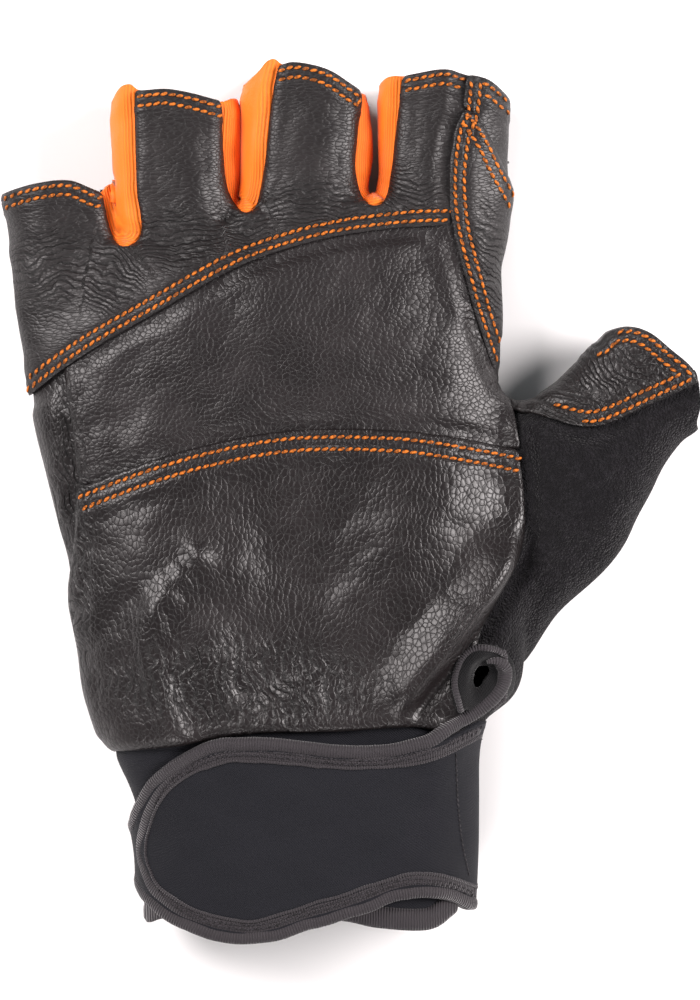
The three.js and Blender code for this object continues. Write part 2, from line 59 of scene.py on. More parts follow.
# Sizes of the glove, in millimetres unless said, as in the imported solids
PALM_WIDTH = 103.5
PALM_LENGTH = 126.0
PALM_THICKNESS = 30.0
FINGER_THICKNESS = 23.0
THUMB_WIDTH = 30.0
THUMB_LENGTH = 58.0
THUMB_THICKNESS = 25.0
THUMB_LEAN = 38.3  # degrees
CUFF_LENGTH = 41.0
FLATTENING = 1.5  # how far the tubes reach below the table before their underside is flattened on it
BACK_SEAM_HEIGHT = 8.0
STRAP_LENGTH = 80.0
STRAP_WIDTH = 47.6
STRAP_SEWN_END = 0.289  # a share of PALM_WIDTH
STRAP_TOP = 3.7
CLOSURE_PLACE = (0.69, 0.5)  # shares of the strap's length and width
CLOSURE_SIZE = (27.0, 22.0)
BINDING_WIDTH = 5.0
ROLL_WIDTH = 3.1
NOTCH_DEPTH = 1.8
NOTCH_FLARE = (0.9, 0.6)  # how far a notch spreads to its left and right on the way out
SLIT_HALF = 0.6  # half the open width of the wrist slit
SQUARENESS = 2.4  # of the tubes' sections: 2 is an ellipse, more is squarer

# Thickness of the cloth pieces, how far the strap stands off the hand and sinks towards its sewn end, and
# the least that a tape stands off it
TERRY_WALL = 1.4
STRIP_WALL = 0.9
KNIT_WALL = 1.2
NEOPRENE_WALL = 1.6
CUFF_TAPE_WALL = 2.2
CLOSURE_WALL = 1.0
KEYHOLE_WALL = 1.0
STRAP_LIFT = 2.9
STRAP_SINK = 2.1
LEAST_LIFT = 0.3

# Where the strap, its roll, its borders and any tape end, to the right of the strap's sewn end
STRAP_REACH = 0.8
ROLL_REACH = -0.5
BORDER_REACH = -0.3
TAPE_REACH = 5.5

# Sections of the hand from the cuff to the finger roots: left and right edge points, height.
# Cuff rows are shares of PALM_WIDTH and CUFF_LENGTH, palm rows of PALM_WIDTH and PALM_LENGTH.
CUFF_SECTIONS = [
    ((-0.458, -1.135), (0.268, -1.135), 0.97),
    ((-0.453, -0.629), (0.279, -0.629), 0.96),
    ((-0.482, -0.292), (0.281, -0.292), 0.95),
    ((-0.516, -0.096), (0.281, -0.096), 0.95),
]
PALM_SECTIONS = [
    ((-0.532, 0.0), (0.284, 0.0), 0.97),
    ((-0.558, 0.022), (0.289, 0.022), 0.99),
    ((-0.57, 0.05), (0.303, 0.05), 1.0),
    ((-0.585, 0.088), (0.36, 0.088), 1.0),
    ((-0.594, 0.124), (0.384, 0.124), 1.0),
    ((-0.602, 0.179), (0.39, 0.179), 1.0),
    ((-0.624, 0.27), (0.391, 0.27), 0.98),
    ((-0.644, 0.38), (0.391, 0.38), 0.95),
    ((-0.676, 0.489), (0.382, 0.489), 0.92),
    ((-0.709, 0.599), (0.364, 0.599), 0.89),
    ((-0.722, 0.69), (0.338, 0.69), 0.87),
    ((-0.738, 0.76), (0.338, 0.8), 0.86),
    ((-0.751, 0.836), (0.34, 0.927), 0.83),
    ((-0.757, 0.89), (0.347, 1.04), 0.76),
]

# Fingers: root as a share of the palm; hem and leather edges as shares of the finger's width and length
FINGERS = {
    "little": dict(
        root=(-0.631, 0.909), width=26.5, length=15.6, lean=-9.0, high=0.93,
        hem=[(-0.596, 0.964), (-0.445, 0.983), (-0.151, 1.023), (0.137, 0.991), (0.371, 0.764),
             (0.462, 0.889), (0.563, 0.743)],
        right=[(0.39, 0.968), (0.378, 0.837), (0.383, 0.523), (0.426, 0.035)]),
    "ring": dict(
        root=(-0.382, 0.945), width=29.2, length=31.7, lean=-2.5, high=1.0,
        hem=[(-0.543, 0.849), (-0.476, 0.933), (-0.392, 1.046), (-0.312, 1.064), (-0.259, 1.011),
             (-0.046, 1.017), (0.18, 0.972), (0.39, 0.913), (0.454, 0.939), (0.562, 0.877)],
        left=[(-0.255, 1.098), (-0.29, 0.875), (-0.3, 0.324), (-0.284, -0.003)],
        right=[(0.386, 1.0), (0.379, 0.674), (0.393, 0.318), (0.465, 0.155)]),
    "middle": dict(
        root=(-0.098, 0.973), width=29.0, length=34.0, lean=0.0, high=1.02,
        hem=[(-0.587, 0.75), (-0.524, 0.831), (-0.381, 0.939), (-0.286, 1.034), (-0.23, 1.041), (-0.198, 1.0),
             (-0.079, 1.02), (0.19, 0.966), (0.437, 0.831), (0.492, 0.838), (0.54, 0.777)],
        left=[(-0.198, 1.047), (-0.27, 0.743), (-0.317, 0.358), (-0.381, 0.074)],
        right=[(0.444, 0.885), (0.405, 0.527), (0.389, 0.297), (0.452, 0.101)]),
    "index": dict(
        root=(0.211, 0.991), width=30.8, length=30.8, lean=0.0, high=1.0,
        hem=[(-0.56, 0.799), (-0.5, 0.858), (-0.44, 0.94), (-0.366, 0.963), (-0.306, 0.955), (-0.015, 1.0),
             (0.157, 0.963), (0.321, 0.925), (0.507, 0.799), (0.619, 0.754)],
        left=[(-0.306, 1.007), (-0.358, 0.59), (-0.396, 0.254), (-0.44, 0.037)]),
}
# Finger sections: below the root as a share of PALM_WIDTH, above it of the finger's length, then shares of
# its width and of FINGER_THICKNESS for the low and the high side
FINGER_SECTIONS = [
    (0.3, 0.0, 0.5, 0.1, 0.92),
    (0.1, 0.0, 0.92, 0.0, 1.0),
    (0.0, 0.08, 1.02, 0.02, 1.0),
    (0.0, 0.25, 0.98, 0.03, 1.0),
    (0.0, 0.6, 0.97, 0.07, 0.99),
    (0.0, 1.0, 0.99, 0.12, 1.0),
    (0.0, 1.5, 0.99, 0.17, 1.02),
]

# Thumb: shares of THUMB_WIDTH and THUMB_LENGTH from its base, heights of THUMB_THICKNESS
THUMB_BASE = (0.344, 0.297)
THUMB_SECTIONS = [
    ((-0.849, -0.118), (0.31, -0.365), 0.06, 0.54),
    ((-0.741, 0.067), (0.5, -0.21), 0.02, 0.62),
    ((-0.748, 0.252), (0.461, 0.051), 0.02, 0.74),
    ((-0.804, 0.416), (0.555, 0.322), 0.04, 0.87),
    ((-0.802, 0.569), (0.491, 0.544), 0.08, 1.0),
    ((-0.69, 0.675), (0.414, 0.735), 0.12, 1.0),
    ((-0.64, 0.847), (0.388, 0.887), 0.16, 1.01),
    ((-0.609, 1.006), (0.429, 0.969), 0.18, 1.04),
    ((-0.592, 1.251), (0.448, 1.245), 0.2, 1.08),
]
THUMB_HEM = [(-0.715, 0.999), (-0.614, 0.984), (-0.601, 1.04), (-0.494, 1.104), (-0.334, 1.134),
             (-0.126, 1.132), (0.065, 1.129), (0.185, 1.102), (0.313, 1.038), (0.406, 0.965), (0.607, 0.981)]
THUMB_SEAM = [(-0.68, 0.598), (-0.497, 0.632), (-0.295, 0.679), (-0.158, 0.75), (0.005, 0.913),
              (0.147, 1.057), (0.241, 1.155)]

# Seams seen from above the palm, shares of PALM_WIDTH and PALM_LENGTH. Where seams meet they share a point.
KNUCKLE_AT_SIDE = (-0.636, 0.69)
KNUCKLE_AT_INDEX = (0.227, 0.951)
HEEL_AT_SIDE = (-0.602, 0.473)
HEEL_AT_THENAR = (0.376, 0.543)
INDEX_AT_WEB = (0.333, 0.668)
THENAR_AT_THUMB = (0.364, 0.615)
INDEX_AT_TIP = (0.25, 1.165)
KEYHOLE_TOP = (0.276, 0.151)
WRIST_AT_SIDE = (-0.57, -0.009)
WRIST_AT_SLIT = (0.24, 0.02)
KNUCKLE_SEAM = [(-0.822, 0.599), (-0.716, 0.644), KNUCKLE_AT_SIDE, (-0.556, 0.732), (-0.422, 0.794),
                (-0.238, 0.878), (-0.064, 0.925), (0.111, 0.947), KNUCKLE_AT_INDEX]
HEEL_SEAM = [HEEL_AT_SIDE, (-0.456, 0.518), (-0.289, 0.557), (-0.111, 0.58), (0.111, 0.578), (0.284, 0.558),
             HEEL_AT_THENAR]
INDEX_SEAM = [(0.262, 1.292), INDEX_AT_TIP, (0.233, 1.128), (0.22, 1.046), KNUCKLE_AT_INDEX, (0.262, 0.836),
              (0.293, 0.754), INDEX_AT_WEB]
SIDE_SEAM = [KNUCKLE_AT_SIDE, (-0.615, 0.6), HEEL_AT_SIDE, (-0.61, 0.38), (-0.629, 0.234), (-0.6, 0.106),
             WRIST_AT_SIDE]
THENAR_SEAM = [INDEX_AT_WEB, THENAR_AT_THUMB, HEEL_AT_THENAR, (0.387, 0.425), (0.371, 0.347), (0.327, 0.277),
               (0.289, 0.215), KEYHOLE_TOP]
SLIT_SEAM = [KEYHOLE_TOP, (0.258, 0.078), WRIST_AT_SLIT]
TIP_SEAM = [INDEX_AT_TIP, (0.276, 1.153), (0.316, 1.104), (0.342, 1.06), (0.4, 0.98)]
WRIST_EDGE = [(-0.8, -0.03), WRIST_AT_SIDE, (-0.522, -0.004), (-0.369, 0.011), (-0.222, 0.031),
              (-0.033, 0.035), (0.144, 0.042), WRIST_AT_SLIT, (0.378, -0.007), (0.556, -0.007)]
KEYHOLE_WELT = [(0.242, 0.073), (0.231, 0.119), (0.242, 0.157), (0.268, 0.18), (0.3, 0.184), (0.329, 0.177),
                (0.347, 0.157), (0.354, 0.133), (0.35, 0.112), (0.334, 0.094), (0.31, 0.075)]
KEYHOLE_HOLE = [(0.284, 0.108), (0.277, 0.125), (0.285, 0.147), (0.305, 0.152), (0.318, 0.146), (0.31, 0.13)]
# The roll of the strap's binding, down the keyhole's right side to the strap's top edge
KEYHOLE_ROLL = [(0.302, 0.16), (0.322, 0.161), (0.34, 0.146), (0.337, 0.122), (0.32, 0.1), (0.29, 0.078),
                (0.25, 0.058), (0.21, 0.041), (0.17, 0.029)]
# Behind the strap's roll, a flat border and its thin raised edge: inset, width, thickness and lift in mm
BORDERS = [("strap_binding_border", 4.0, 2.6, 1.2, 2.5), ("strap_binding_edge", 5.4, 0.75, 1.1, 2.75)]
WEB_END = (0.4, 0.679)
STRAP_SEAM = [(0.072, 0.08), (0.069, 0.24), (0.063, 0.4), (0.052, 0.54), (0.034, 0.68)]
STRAP_OUTLINE = [(-0.12, -0.09), (0.006, -0.097), (0.066, -0.063), (0.147, -0.014), (0.267, 0.039),
                 (0.391, 0.043), (0.552, 0.014), (0.672, 0.0), (0.767, 0.019), (0.862, 0.097), (0.943, 0.222),
                 (0.986, 0.386), (1.0, 0.56), (0.986, 0.681), (0.954, 0.802), (0.891, 0.894), (0.793, 0.971),
                 (0.687, 1.0), (0.592, 0.986), (0.486, 0.928), (0.405, 0.889), (0.307, 0.836), (0.245, 0.797),
                 (0.184, 0.782), (0.115, 0.797), (0.072, 0.83), (0.03, 0.86), (-0.12, 0.86)]

# Mounds and dents: middle and reach as shares of the palm, rise as a share of PALM_THICKNESS
MOUNDS = [
    ((0.25, 0.33), (0.19, 0.2), 0.12),
    ((-0.42, 0.26), (0.17, 0.22), 0.1),
    ((-0.1, 0.34), (0.2, 0.22), -0.1),
    ((-0.15, 0.76), (0.4, 0.11), 0.045),
    ((-0.2, 0.93), (0.5, 0.05), -0.03),
]
# Folds and gathers: a line in palm shares, width of PALM_WIDTH, rise of PALM_THICKNESS
FOLDS = [
    ([(-0.02, 0.12), (0.26, 0.42)], 0.05, -0.035),
    ([(-0.333, 0.352), (-0.422, 0.27), (-0.44, 0.179), (-0.389, 0.03)], 0.026, 0.105),
    ([(-0.36, 0.345), (-0.489, 0.265), (-0.567, 0.19)], 0.026, -0.05),
    ([(-0.34, 0.2), (-0.33, 0.05)], 0.022, -0.04),
    ([(-0.3, 0.21), (-0.28, 0.08)], 0.024, 0.035),
    ([(-0.222, 0.042), (-0.167, 0.088), (-0.111, 0.102)], 0.026, 0.05),
    ([(-0.23, 0.1), (-0.133, 0.146), (-0.044, 0.157)], 0.028, -0.05),
    ([(-0.56, 0.05), (-0.47, 0.04)], 0.03, 0.03),
    ([(-0.6, 0.04), (-0.6, 0.6)], 0.025, -0.04),
    ([(-0.76, 0.92), (-0.5, 0.87)], 0.03, -0.035),
    ([(-0.5, 0.93), (-0.25, 0.95)], 0.025, -0.03),
]


def hand_origin():
    """Where the middle of the wrist seam lies in the frame, in millimetres, from the closure's place."""
    low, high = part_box("closure_patch")
    middle = (low + high) / 2 / MM
    across = STRAP_SEWN_END * PALM_WIDTH - CLOSURE_PLACE[0] * STRAP_LENGTH
    along = STRAP_TOP - CLOSURE_PLACE[1] * STRAP_WIDTH
    return np.array([middle.x - across, middle.y - along])


ORIGIN = hand_origin()


# Plan points and lines, in millimetres in the frame's plan

def palm_points(shares):
    return np.array(shares, float) * [PALM_WIDTH, PALM_LENGTH] + ORIGIN


def cuff_points(shares):
    return np.array(shares, float) * [PALM_WIDTH, CUFF_LENGTH] + ORIGIN


def leaning_points(shares, root, width, length, lean):
    turn = math.radians(-lean)
    spin = np.array([[math.cos(turn), math.sin(turn)], [-math.sin(turn), math.cos(turn)]])
    return (np.array(shares, float) * [width, length]) @ spin + palm_points([root])[0]


def finger_points(name, shares):
    finger = FINGERS[name]
    return leaning_points(shares, finger["root"], finger["width"], finger["length"], finger["lean"])


def thumb_points(shares):
    return leaning_points(shares, THUMB_BASE, THUMB_WIDTH, THUMB_LENGTH, THUMB_LEAN)


def strap_points(shares):
    shares = np.array(shares, float)
    across = STRAP_SEWN_END * PALM_WIDTH - shares[:, 0] * STRAP_LENGTH
    along = STRAP_TOP - shares[:, 1] * STRAP_WIDTH
    return np.stack([across, along], 1) + ORIGIN


def smooth(points, steps=8):
    """A Catmull-Rom curve through the rows of points, of any number of columns."""
    points = np.array(points, float)
    padded = np.vstack([points[:1], points, points[-1:]])
    rows = []
    for i in range(len(points) - 1):
        a, b, c, d = padded[i:i + 4]
        for step in range(steps):
            t = step / steps
            speed_in, speed_out = (c - a) / 2, (d - b) / 2
            rows.append((2 * b - 2 * c + speed_in + speed_out) * t ** 3
                        + (-3 * b + 3 * c - 2 * speed_in - speed_out) * t ** 2 + speed_in * t + b)
    rows.append(points[-1])
    return np.array(rows)


def stretch(seam, first=None, last=None, steps=8):
    """The curve of a seam between two points of its table."""
    start = seam.index(first) if first else 0
    end = seam.index(last) if last else len(seam) - 1
    return smooth(palm_points(seam), steps)[start * steps:end * steps + 1]


def joined(*lines):
    """One outline out of lines that follow each other, without doubled points."""
    points = np.vstack(lines)
    keep = np.linalg.norm(points - np.roll(points, 1, 0), axis=1) > 0.05
    return points[keep]


def beside(points, distance):
    """A line moved to its left by a distance."""
    run = np.gradient(points, axis=0)
    run /= np.linalg.norm(run, axis=1, keepdims=True)
    return points + np.stack([-run[:, 1], run[:, 0]], 1) * distance


def lengths_along(points):
    steps = np.linalg.norm(np.diff(points, axis=0), axis=1)
    return np.concatenate([[0], np.cumsum(steps)])


def evenly(points, pitch):
    """Points every pitch along a line, with the direction there."""
    run = lengths_along(points)
    count = max(2, int(round(run[-1] / pitch)) + 1)
    at = np.linspace(0, run[-1], count)
    placed = np.stack([np.interp(at, run, points[:, k]) for k in range(points.shape[1])], 1)
    way = np.gradient(placed, axis=0)
    way /= np.linalg.norm(way, axis=1, keepdims=True)
    return placed, way


def nearest_on(plan, line, reach=15.0):
    """For plan points: the distance to a line, positive on its left, the length run so far, and the
    nearest point. Points further off than the reach only get a large distance."""
    near = ((plan > line.min(0) - reach) & (plan < line.max(0) + reach)).all(1)
    signed, along, nearest = np.full(len(plan), 1e9), np.zeros(len(plan)), np.zeros((len(plan), 2))
    signed[near], along[near], nearest[near] = nearest_of_all(plan[near], line)
    return signed, along, nearest


def nearest_of_all(plan, line):
    """The same, worked out for every plan point however far off."""
    best = np.full(len(plan), 1e9)
    signed = np.full(len(plan), 1e9)
    along = np.zeros(len(plan))
    nearest = np.zeros((len(plan), 2))
    run = lengths_along(line)
    for i in range(len(line) - 1):
        a, b = line[i], line[i + 1]
        way = b - a
        length = np.linalg.norm(way)
        if length < 1e-9:
            continue
        way = way / length
        from_a = plan - a
        share = np.clip(from_a @ way, 0, length)
        away = from_a - share[:, None] * way
        distance = np.hypot(away[:, 0], away[:, 1])
        closer = distance < best
        side = np.sign(way[0] * from_a[:, 1] - way[1] * from_a[:, 0])
        best[closer] = distance[closer]
        signed[closer] = (distance * side)[closer]
        along[closer] = (run[i] + share)[closer]
        nearest[closer] = (a + share[:, None] * way)[closer]
    return signed, along, nearest


def away_from(plan, *lines):
    """Distance of plan points to the nearest of some lines."""
    return np.min([np.abs(nearest_on(plan, line)[0]) for line in lines], axis=0)


def inside_outline(plan, outline):
    """Which plan points are inside a closed outline."""
    within_box = ((plan > outline.min(0)) & (plan < outline.max(0))).all(1)
    inside = np.zeros(len(plan), bool)
    inside[within_box] = inside_of_all(plan[within_box], outline)
    return inside


def inside_of_all(plan, outline):
    """The same, worked out for every plan point: how often a line to its right crosses the outline."""
    inside = np.zeros(len(plan), bool)
    previous = outline[-1]
    for corner in outline:
        crosses = (corner[1] > plan[:, 1]) != (previous[1] > plan[:, 1])
        slope = (previous[0] - corner[0]) / ((previous[1] - corner[1]) or 1e-12)
        inside ^= crosses & (plan[:, 0] < slope * (plan[:, 1] - corner[1]) + corner[0])
        previous = corner
    return inside


def bell(value, width):
    """A soft bell, 1 at 0 and near 0 past twice the width."""
    return np.exp(-(value / width) ** 2)


def ease(value, low, high):
    """0 below low, 1 above high, smooth between them."""
    share = np.clip((value - low) / (high - low), 0, 1)
    return share * share * (3 - 2 * share)


def ripple(plan, size, seed):
    """Smooth noise from -1 to 1 out of a few crossing waves."""
    draw = np.random.default_rng(seed)
    total = np.zeros(len(plan))
    for _ in range(9):
        angle = draw.uniform(0, 2 * math.pi)
        wave = 2 * math.pi / (size * draw.uniform(0.7, 1.6))
        total += np.sin((plan[:, 0] * math.cos(angle) + plan[:, 1] * math.sin(angle)) * wave
                        + draw.uniform(0, 2 * math.pi))
    return total / 4.5


# Lines that pieces share, in millimetres in the plan
KNUCKLE = stretch(KNUCKLE_SEAM)
HEEL = stretch(HEEL_SEAM)
SIDE = stretch(SIDE_SEAM)
TIP = stretch(TIP_SEAM)
WRIST = stretch(WRIST_EDGE)
THUMB_LINE = smooth(thumb_points(THUMB_SEAM))
THUMB_END = smooth(thumb_points(THUMB_HEM))
STRAP_EDGE = smooth(strap_points(STRAP_OUTLINE))
KEYHOLE = smooth(palm_points(KEYHOLE_WELT))
HEMS = {name: smooth(finger_points(name, finger["hem"])) for name, finger in FINGERS.items()}
INDEX_TOP = stretch(INDEX_SEAM, None, KNUCKLE_AT_INDEX)
INDEX_DOWN = stretch(INDEX_SEAM, INDEX_AT_TIP)
INDEX_END = stretch(INDEX_SEAM, None, INDEX_AT_TIP)
WEB_SEAM = stretch(THENAR_SEAM, INDEX_AT_WEB, THENAR_AT_THUMB)
THENAR = stretch(THENAR_SEAM, THENAR_AT_THUMB)
WEB_GAP = palm_points([(0.44, 0.82)])[0]  # the open place between the index finger and the thumb
STRAP_RIGHT = strap_points([(0.0, 0.0)])[0][0]  # the strap's sewn end
FAR = 300.0  # a place outside the hand
ALL_OF_HAND = 200.0  # a reach that takes in every place on the hand


def beyond(across, along):
    """A point far out, in palm shares, where an outline only has to pass outside the hand."""
    return palm_points([(across, along)])


def glove_outline():
    """Everything inside the hems and the cuff's end."""
    hems = np.vstack(list(HEMS.values()))
    cuff_end = ORIGIN[1] - CUFF_LENGTH
    return np.vstack([[(-FAR, cuff_end), (-FAR, hems[0][1])], hems, [(WEB_GAP[0], hems[-1][1]), WEB_GAP],
                      THUMB_END, [(FAR, THUMB_END[-1][1]), (FAR, cuff_end)]])


def notch_line(before, after):
    """A leather edge down one finger's side, round the crotch and up the next finger's."""
    down = finger_points(before, FINGERS[before]["right"])
    up = finger_points(after, FINGERS[after]["left"])[::-1]
    bottom = (down[-1] + up[0]) / 2
    bottom[1] = min(down[-1][1], up[0][1]) - NOTCH_DEPTH
    return smooth(np.vstack([down, [bottom], up]))


GLOVE = glove_outline()
ORDER = list(FINGERS)
NOTCHES = {f"{before}_{after}_fourchette": notch_line(before, after)
           for before, after in zip(ORDER, ORDER[1:])}
NOTCH_OUTLINES = [np.vstack([line, [(line[-1][0] + NOTCH_FLARE[1], FAR), (line[0][0] - NOTCH_FLARE[0], FAR)]])
                  for line in NOTCHES.values()]
CUFF_END = smooth(cuff_points([(-0.62, -0.99), (-0.458, -0.981), (-0.402, -0.942), (-0.222, -0.92),
                               (-0.024, -0.942), (0.051, -0.981), (0.144, -1.004), (0.193, -0.987),
                               (0.242, -0.903), (0.289, -0.869), (0.45, -0.86)]))
CUFF_OUTLINE = joined(WRIST, beyond(1, 0), beyond(1, -1), beyond(-1, -1), beyond(-1, 0))
THUMB_LEATHER = joined(WEB_SEAM, THUMB_LINE, beyond(1, 1), beyond(0.5, 0.9), beyond(*WEB_END))
THUMB_TERRY = joined(THENAR, stretch(SLIT_SEAM), stretch(WRIST_EDGE, WRIST_AT_SLIT), beyond(1, 0),
                     beyond(1, 0.8), THUMB_LINE[::-1])
SLIT = np.vstack([stretch(SLIT_SEAM), [(palm_points([WRIST_AT_SLIT])[0][0], ORIGIN[1] - CUFF_LENGTH - 5)]])
FINGER_PANEL = joined(KNUCKLE, INDEX_TOP[::-1], beyond(-1, 1.3))
INDEX_SIDE = joined(INDEX_DOWN, beyond(*WEB_END), beyond(0.45, 0.8), beyond(0.45, 0.93), TIP[::-1])
INDEX_TIP = joined(INDEX_END[::-1], beyond(0.45, 1.3), beyond(0.45, 0.93), TIP[::-1])
PALM_PATCH = joined(stretch(SIDE_SEAM, None, HEEL_AT_SIDE), HEEL,
                    stretch(THENAR_SEAM, None, HEEL_AT_THENAR)[::-1],
                    stretch(INDEX_SEAM, KNUCKLE_AT_INDEX, INDEX_AT_WEB)[::-1],
                    stretch(KNUCKLE_SEAM, KNUCKLE_AT_SIDE)[::-1])
HEEL_PANEL = joined(HEEL, stretch(THENAR_SEAM, HEEL_AT_THENAR), stretch(SLIT_SEAM),
                    stretch(WRIST_EDGE, WRIST_AT_SIDE, WRIST_AT_SLIT)[::-1],
                    stretch(SIDE_SEAM, HEEL_AT_SIDE)[::-1])
OUTER_SIDE = joined(stretch(KNUCKLE_SEAM, None, KNUCKLE_AT_SIDE), SIDE,
                    stretch(WRIST_EDGE, None, WRIST_AT_SIDE)[::-1])

# The ridge round the ball of the thumb, from the wrist upwards, in palm shares
BALL_RIDGE = [(0.08, 0.055), (0.132, 0.115), (0.198, 0.183), (0.255, 0.246), (0.31, 0.312), (0.35, 0.38),
              (0.366, 0.45)]
# Where tubes of the form cross: a line in palm shares, its reach in mm and how often it is smoothed
CREASES = [
    ([(0.31, 0.66), (0.33, 0.54), (0.34, 0.42), (0.31, 0.3)], 12.0, 90),
    ([(-0.592, 0.97), (-0.585, 0.78)], 5.0, 30),
    ([(-0.53, 1.01), (-0.522, 0.97), (-0.512, 0.93)], 2.2, 14),
]
HEEL_ROWS = (1.9, 4.7)  # the heel seam's stitch rows stand further apart, in mm from its edge
FINE_LINES = 0.36  # spacing of the fine creases, as a share of the folds' spacing
# Fine wrinkles: middle and reach in palm shares, direction across them in degrees, spacing and depth in mm
WRINKLES = [
    ((-0.66, 0.88), (0.1, 0.075), 100, 4.2, 0.55),
    ((-0.53, 0.86), (0.07, 0.07), 60, 3.6, 0.5),
    ((-0.38, 0.93), (0.1, 0.06), 92, 3.8, 0.5),
    ((-0.22, 0.95), (0.06, 0.06), 70, 3.2, 0.4),
    ((-0.08, 0.985), (0.12, 0.05), 88, 3.6, 0.45),
    ((0.1, 1.01), (0.1, 0.05), 85, 3.4, 0.4),
    ((0.3, 0.86), (0.05, 0.12), 60, 4.0, 0.35),
    ((-0.62, 0.35), (0.05, 0.3), 20, 4.6, 0.4),
    ((0.28, 0.2), (0.07, 0.07), 140, 3.6, 0.45),
    ((-0.25, 0.12), (0.3, 0.08), 12, 6.5, 0.35),
    ((0.53, 0.61), (0.1, 0.05), 65, 3.6, 0.35),
    ((0.62, 0.66), (0.14, 0.07), 40, 4.4, 0.3),
]


# Mesh helpers

def metres(plan, height):
    return np.column_stack([plan, height]) * MM


def new_object(name, mesh):
    piece = bpy.data.objects.new(name, mesh)
    bpy.context.scene.collection.objects.link(piece)
    return piece


def object_of(bm, name):
    mesh = bpy.data.meshes.new(name)
    bm.to_mesh(mesh)
    bm.free()
    return new_object(name, mesh)


def rows_of(items, what):
    """A row of three numbers for each vertex or face, such as its place or its normal."""
    found = np.empty(len(items) * 3)
    items.foreach_get(what, found)
    return found.reshape(-1, 3)


def coordinates(mesh):
    return rows_of(mesh.vertices, "co")


def place_vertices(mesh, positions):
    mesh.vertices.foreach_set("co", positions.ravel())
    mesh.update()


def store(mesh, name, values):
    """Keeps one number for each vertex, for a material to read."""
    attribute = mesh.attributes.get(name) or mesh.attributes.new(name, "FLOAT", "POINT")
    attribute.data.foreach_set("value", np.asarray(values, np.float32))


def smooth_shaded(piece):
    for face in piece.data.polygons:
        face.use_smooth = True


def apply_modifiers(piece):
    graph = bpy.context.evaluated_depsgraph_get()
    mesh = bpy.data.meshes.new_from_object(piece.evaluated_get(graph))
    old = piece.data
    piece.modifiers.clear()
    piece.data = mesh
    bpy.data.meshes.remove(old)


def dress(piece, material, slot, *nodes):
    """Gives a finished piece its material and the body it rides on, and hides the nodes it stands for. The
    slot is not used.
    """
    piece.data.materials.clear()
    piece.data.materials.append(material)
    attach(piece, BODY)
    if nodes:
        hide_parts(*nodes)
    return piece


# Shader maths

class Socket:
    """A node's output, so that shader maths reads as a Python expression."""

    def __init__(self, finish, output):
        self.finish = finish
        self.output = output

    def maths(self, operation, first, second=None):
        inputs = {0: first}
        if second is not None:
            inputs[1] = second
        return self.finish.node("ShaderNodeMath", {"operation": operation}, inputs)

    def __add__(self, other):
        return self.maths("ADD", self, other)

    def __sub__(self, other):
        return self.maths("SUBTRACT", self, other)

    def __rsub__(self, other):
        return self.maths("SUBTRACT", other, self)

    def __mul__(self, other):
        return self.maths("MULTIPLY", self, other)

    __radd__ = __add__
    __rmul__ = __mul__

    def sine(self):
        return self.maths("SINE", self)

    def size(self):
        return self.maths("ABSOLUTE", self)

    def clamped(self, low, high):
        """The value as a share from 0 at low to 1 at high."""
        return self.finish.node("ShaderNodeMapRange", {"clamp": True}, {"Value": self, 1: low, 2: high})


class Finish:
    """One procedural material, built on Object coordinates in millimetres."""

    def __init__(self, name):
        self.material = bpy.data.materials.new(name)
        self.material.use_nodes = True
        self.tree = self.material.node_tree
        self.tree.nodes.clear()
        place = self.node("ShaderNodeTexCoord", {}, {}, output="Object")
        self.place = self.scaled(place, (1000, 1000, 1000))

    def node(self, kind, settings, inputs, output=0):
        made = self.tree.nodes.new(kind)
        for name, value in settings.items():
            setattr(made, name, value)
        for name, value in inputs.items():
            if isinstance(value, Socket):
                self.tree.links.new(value.output, made.inputs[name])
            else:
                made.inputs[name].default_value = value
        return Socket(self, made.outputs[output])

    def scaled(self, vector, factors):
        return self.node("ShaderNodeVectorMath", {"operation": "MULTIPLY"}, {0: vector, 1: factors})

    def noise(self, size, detail, output=0):
        """Soft noise from 0 to 1 whose blotches are about so many millimetres."""
        inputs = {"Vector": self.place, "Scale": 1 / size, "Detail": detail}
        return self.node("ShaderNodeTexNoise", {}, inputs, output)

    def cells(self, size, feature, where):
        """Distances within cells that are about so many millimetres wide."""
        inputs = {"Vector": where, "Scale": 1 / size}
        return self.node("ShaderNodeTexVoronoi", {"feature": feature}, inputs, output="Distance")

    def attribute(self, name):
        return self.node("ShaderNodeAttribute", {"attribute_name": name}, {}, output="Fac")

    def blend(self, share, first, second):
        """A colour between two colours."""
        return self.node("ShaderNodeMix", {"data_type": "RGBA"}, {0: share, 6: first, 7: second}, output=2)

    def warped(self, size, amount):
        """The place, pushed about by noise."""
        noise = self.noise(size, 1.0, output="Color")
        push = self.node("ShaderNodeVectorMath", {"operation": "SUBTRACT"}, {0: noise, 1: (0.5, 0.5, 0.5)})
        push = self.scaled(push, (amount, amount, amount))
        return self.node("ShaderNodeVectorMath", {"operation": "ADD"}, {0: self.place, 1: push})

    def finished(self, colour, roughness, height, depth, **constants):
        """Joins it all on one shader; height is in shares of depth, and depth in millimetres."""
        bump = self.node("ShaderNodeBump", {}, {"Height": height, "Distance": depth * MM, "Strength": 1.0})
        inputs = {"Base Color": colour, "Roughness": roughness, "Normal": bump}
        for name, value in constants.items():
            inputs[name.replace("_", " ")] = value
        shader = self.node("ShaderNodeBsdfPrincipled", {}, inputs)
        end = self.tree.nodes.new("ShaderNodeOutputMaterial")
        self.tree.links.new(shader.output, end.inputs[0])
        return self.material


def opaque(colour, factor=1.0):
    """A colour made lighter or darker by a factor, with full cover."""
    return (*[channel * factor for channel in colour], 1.0)


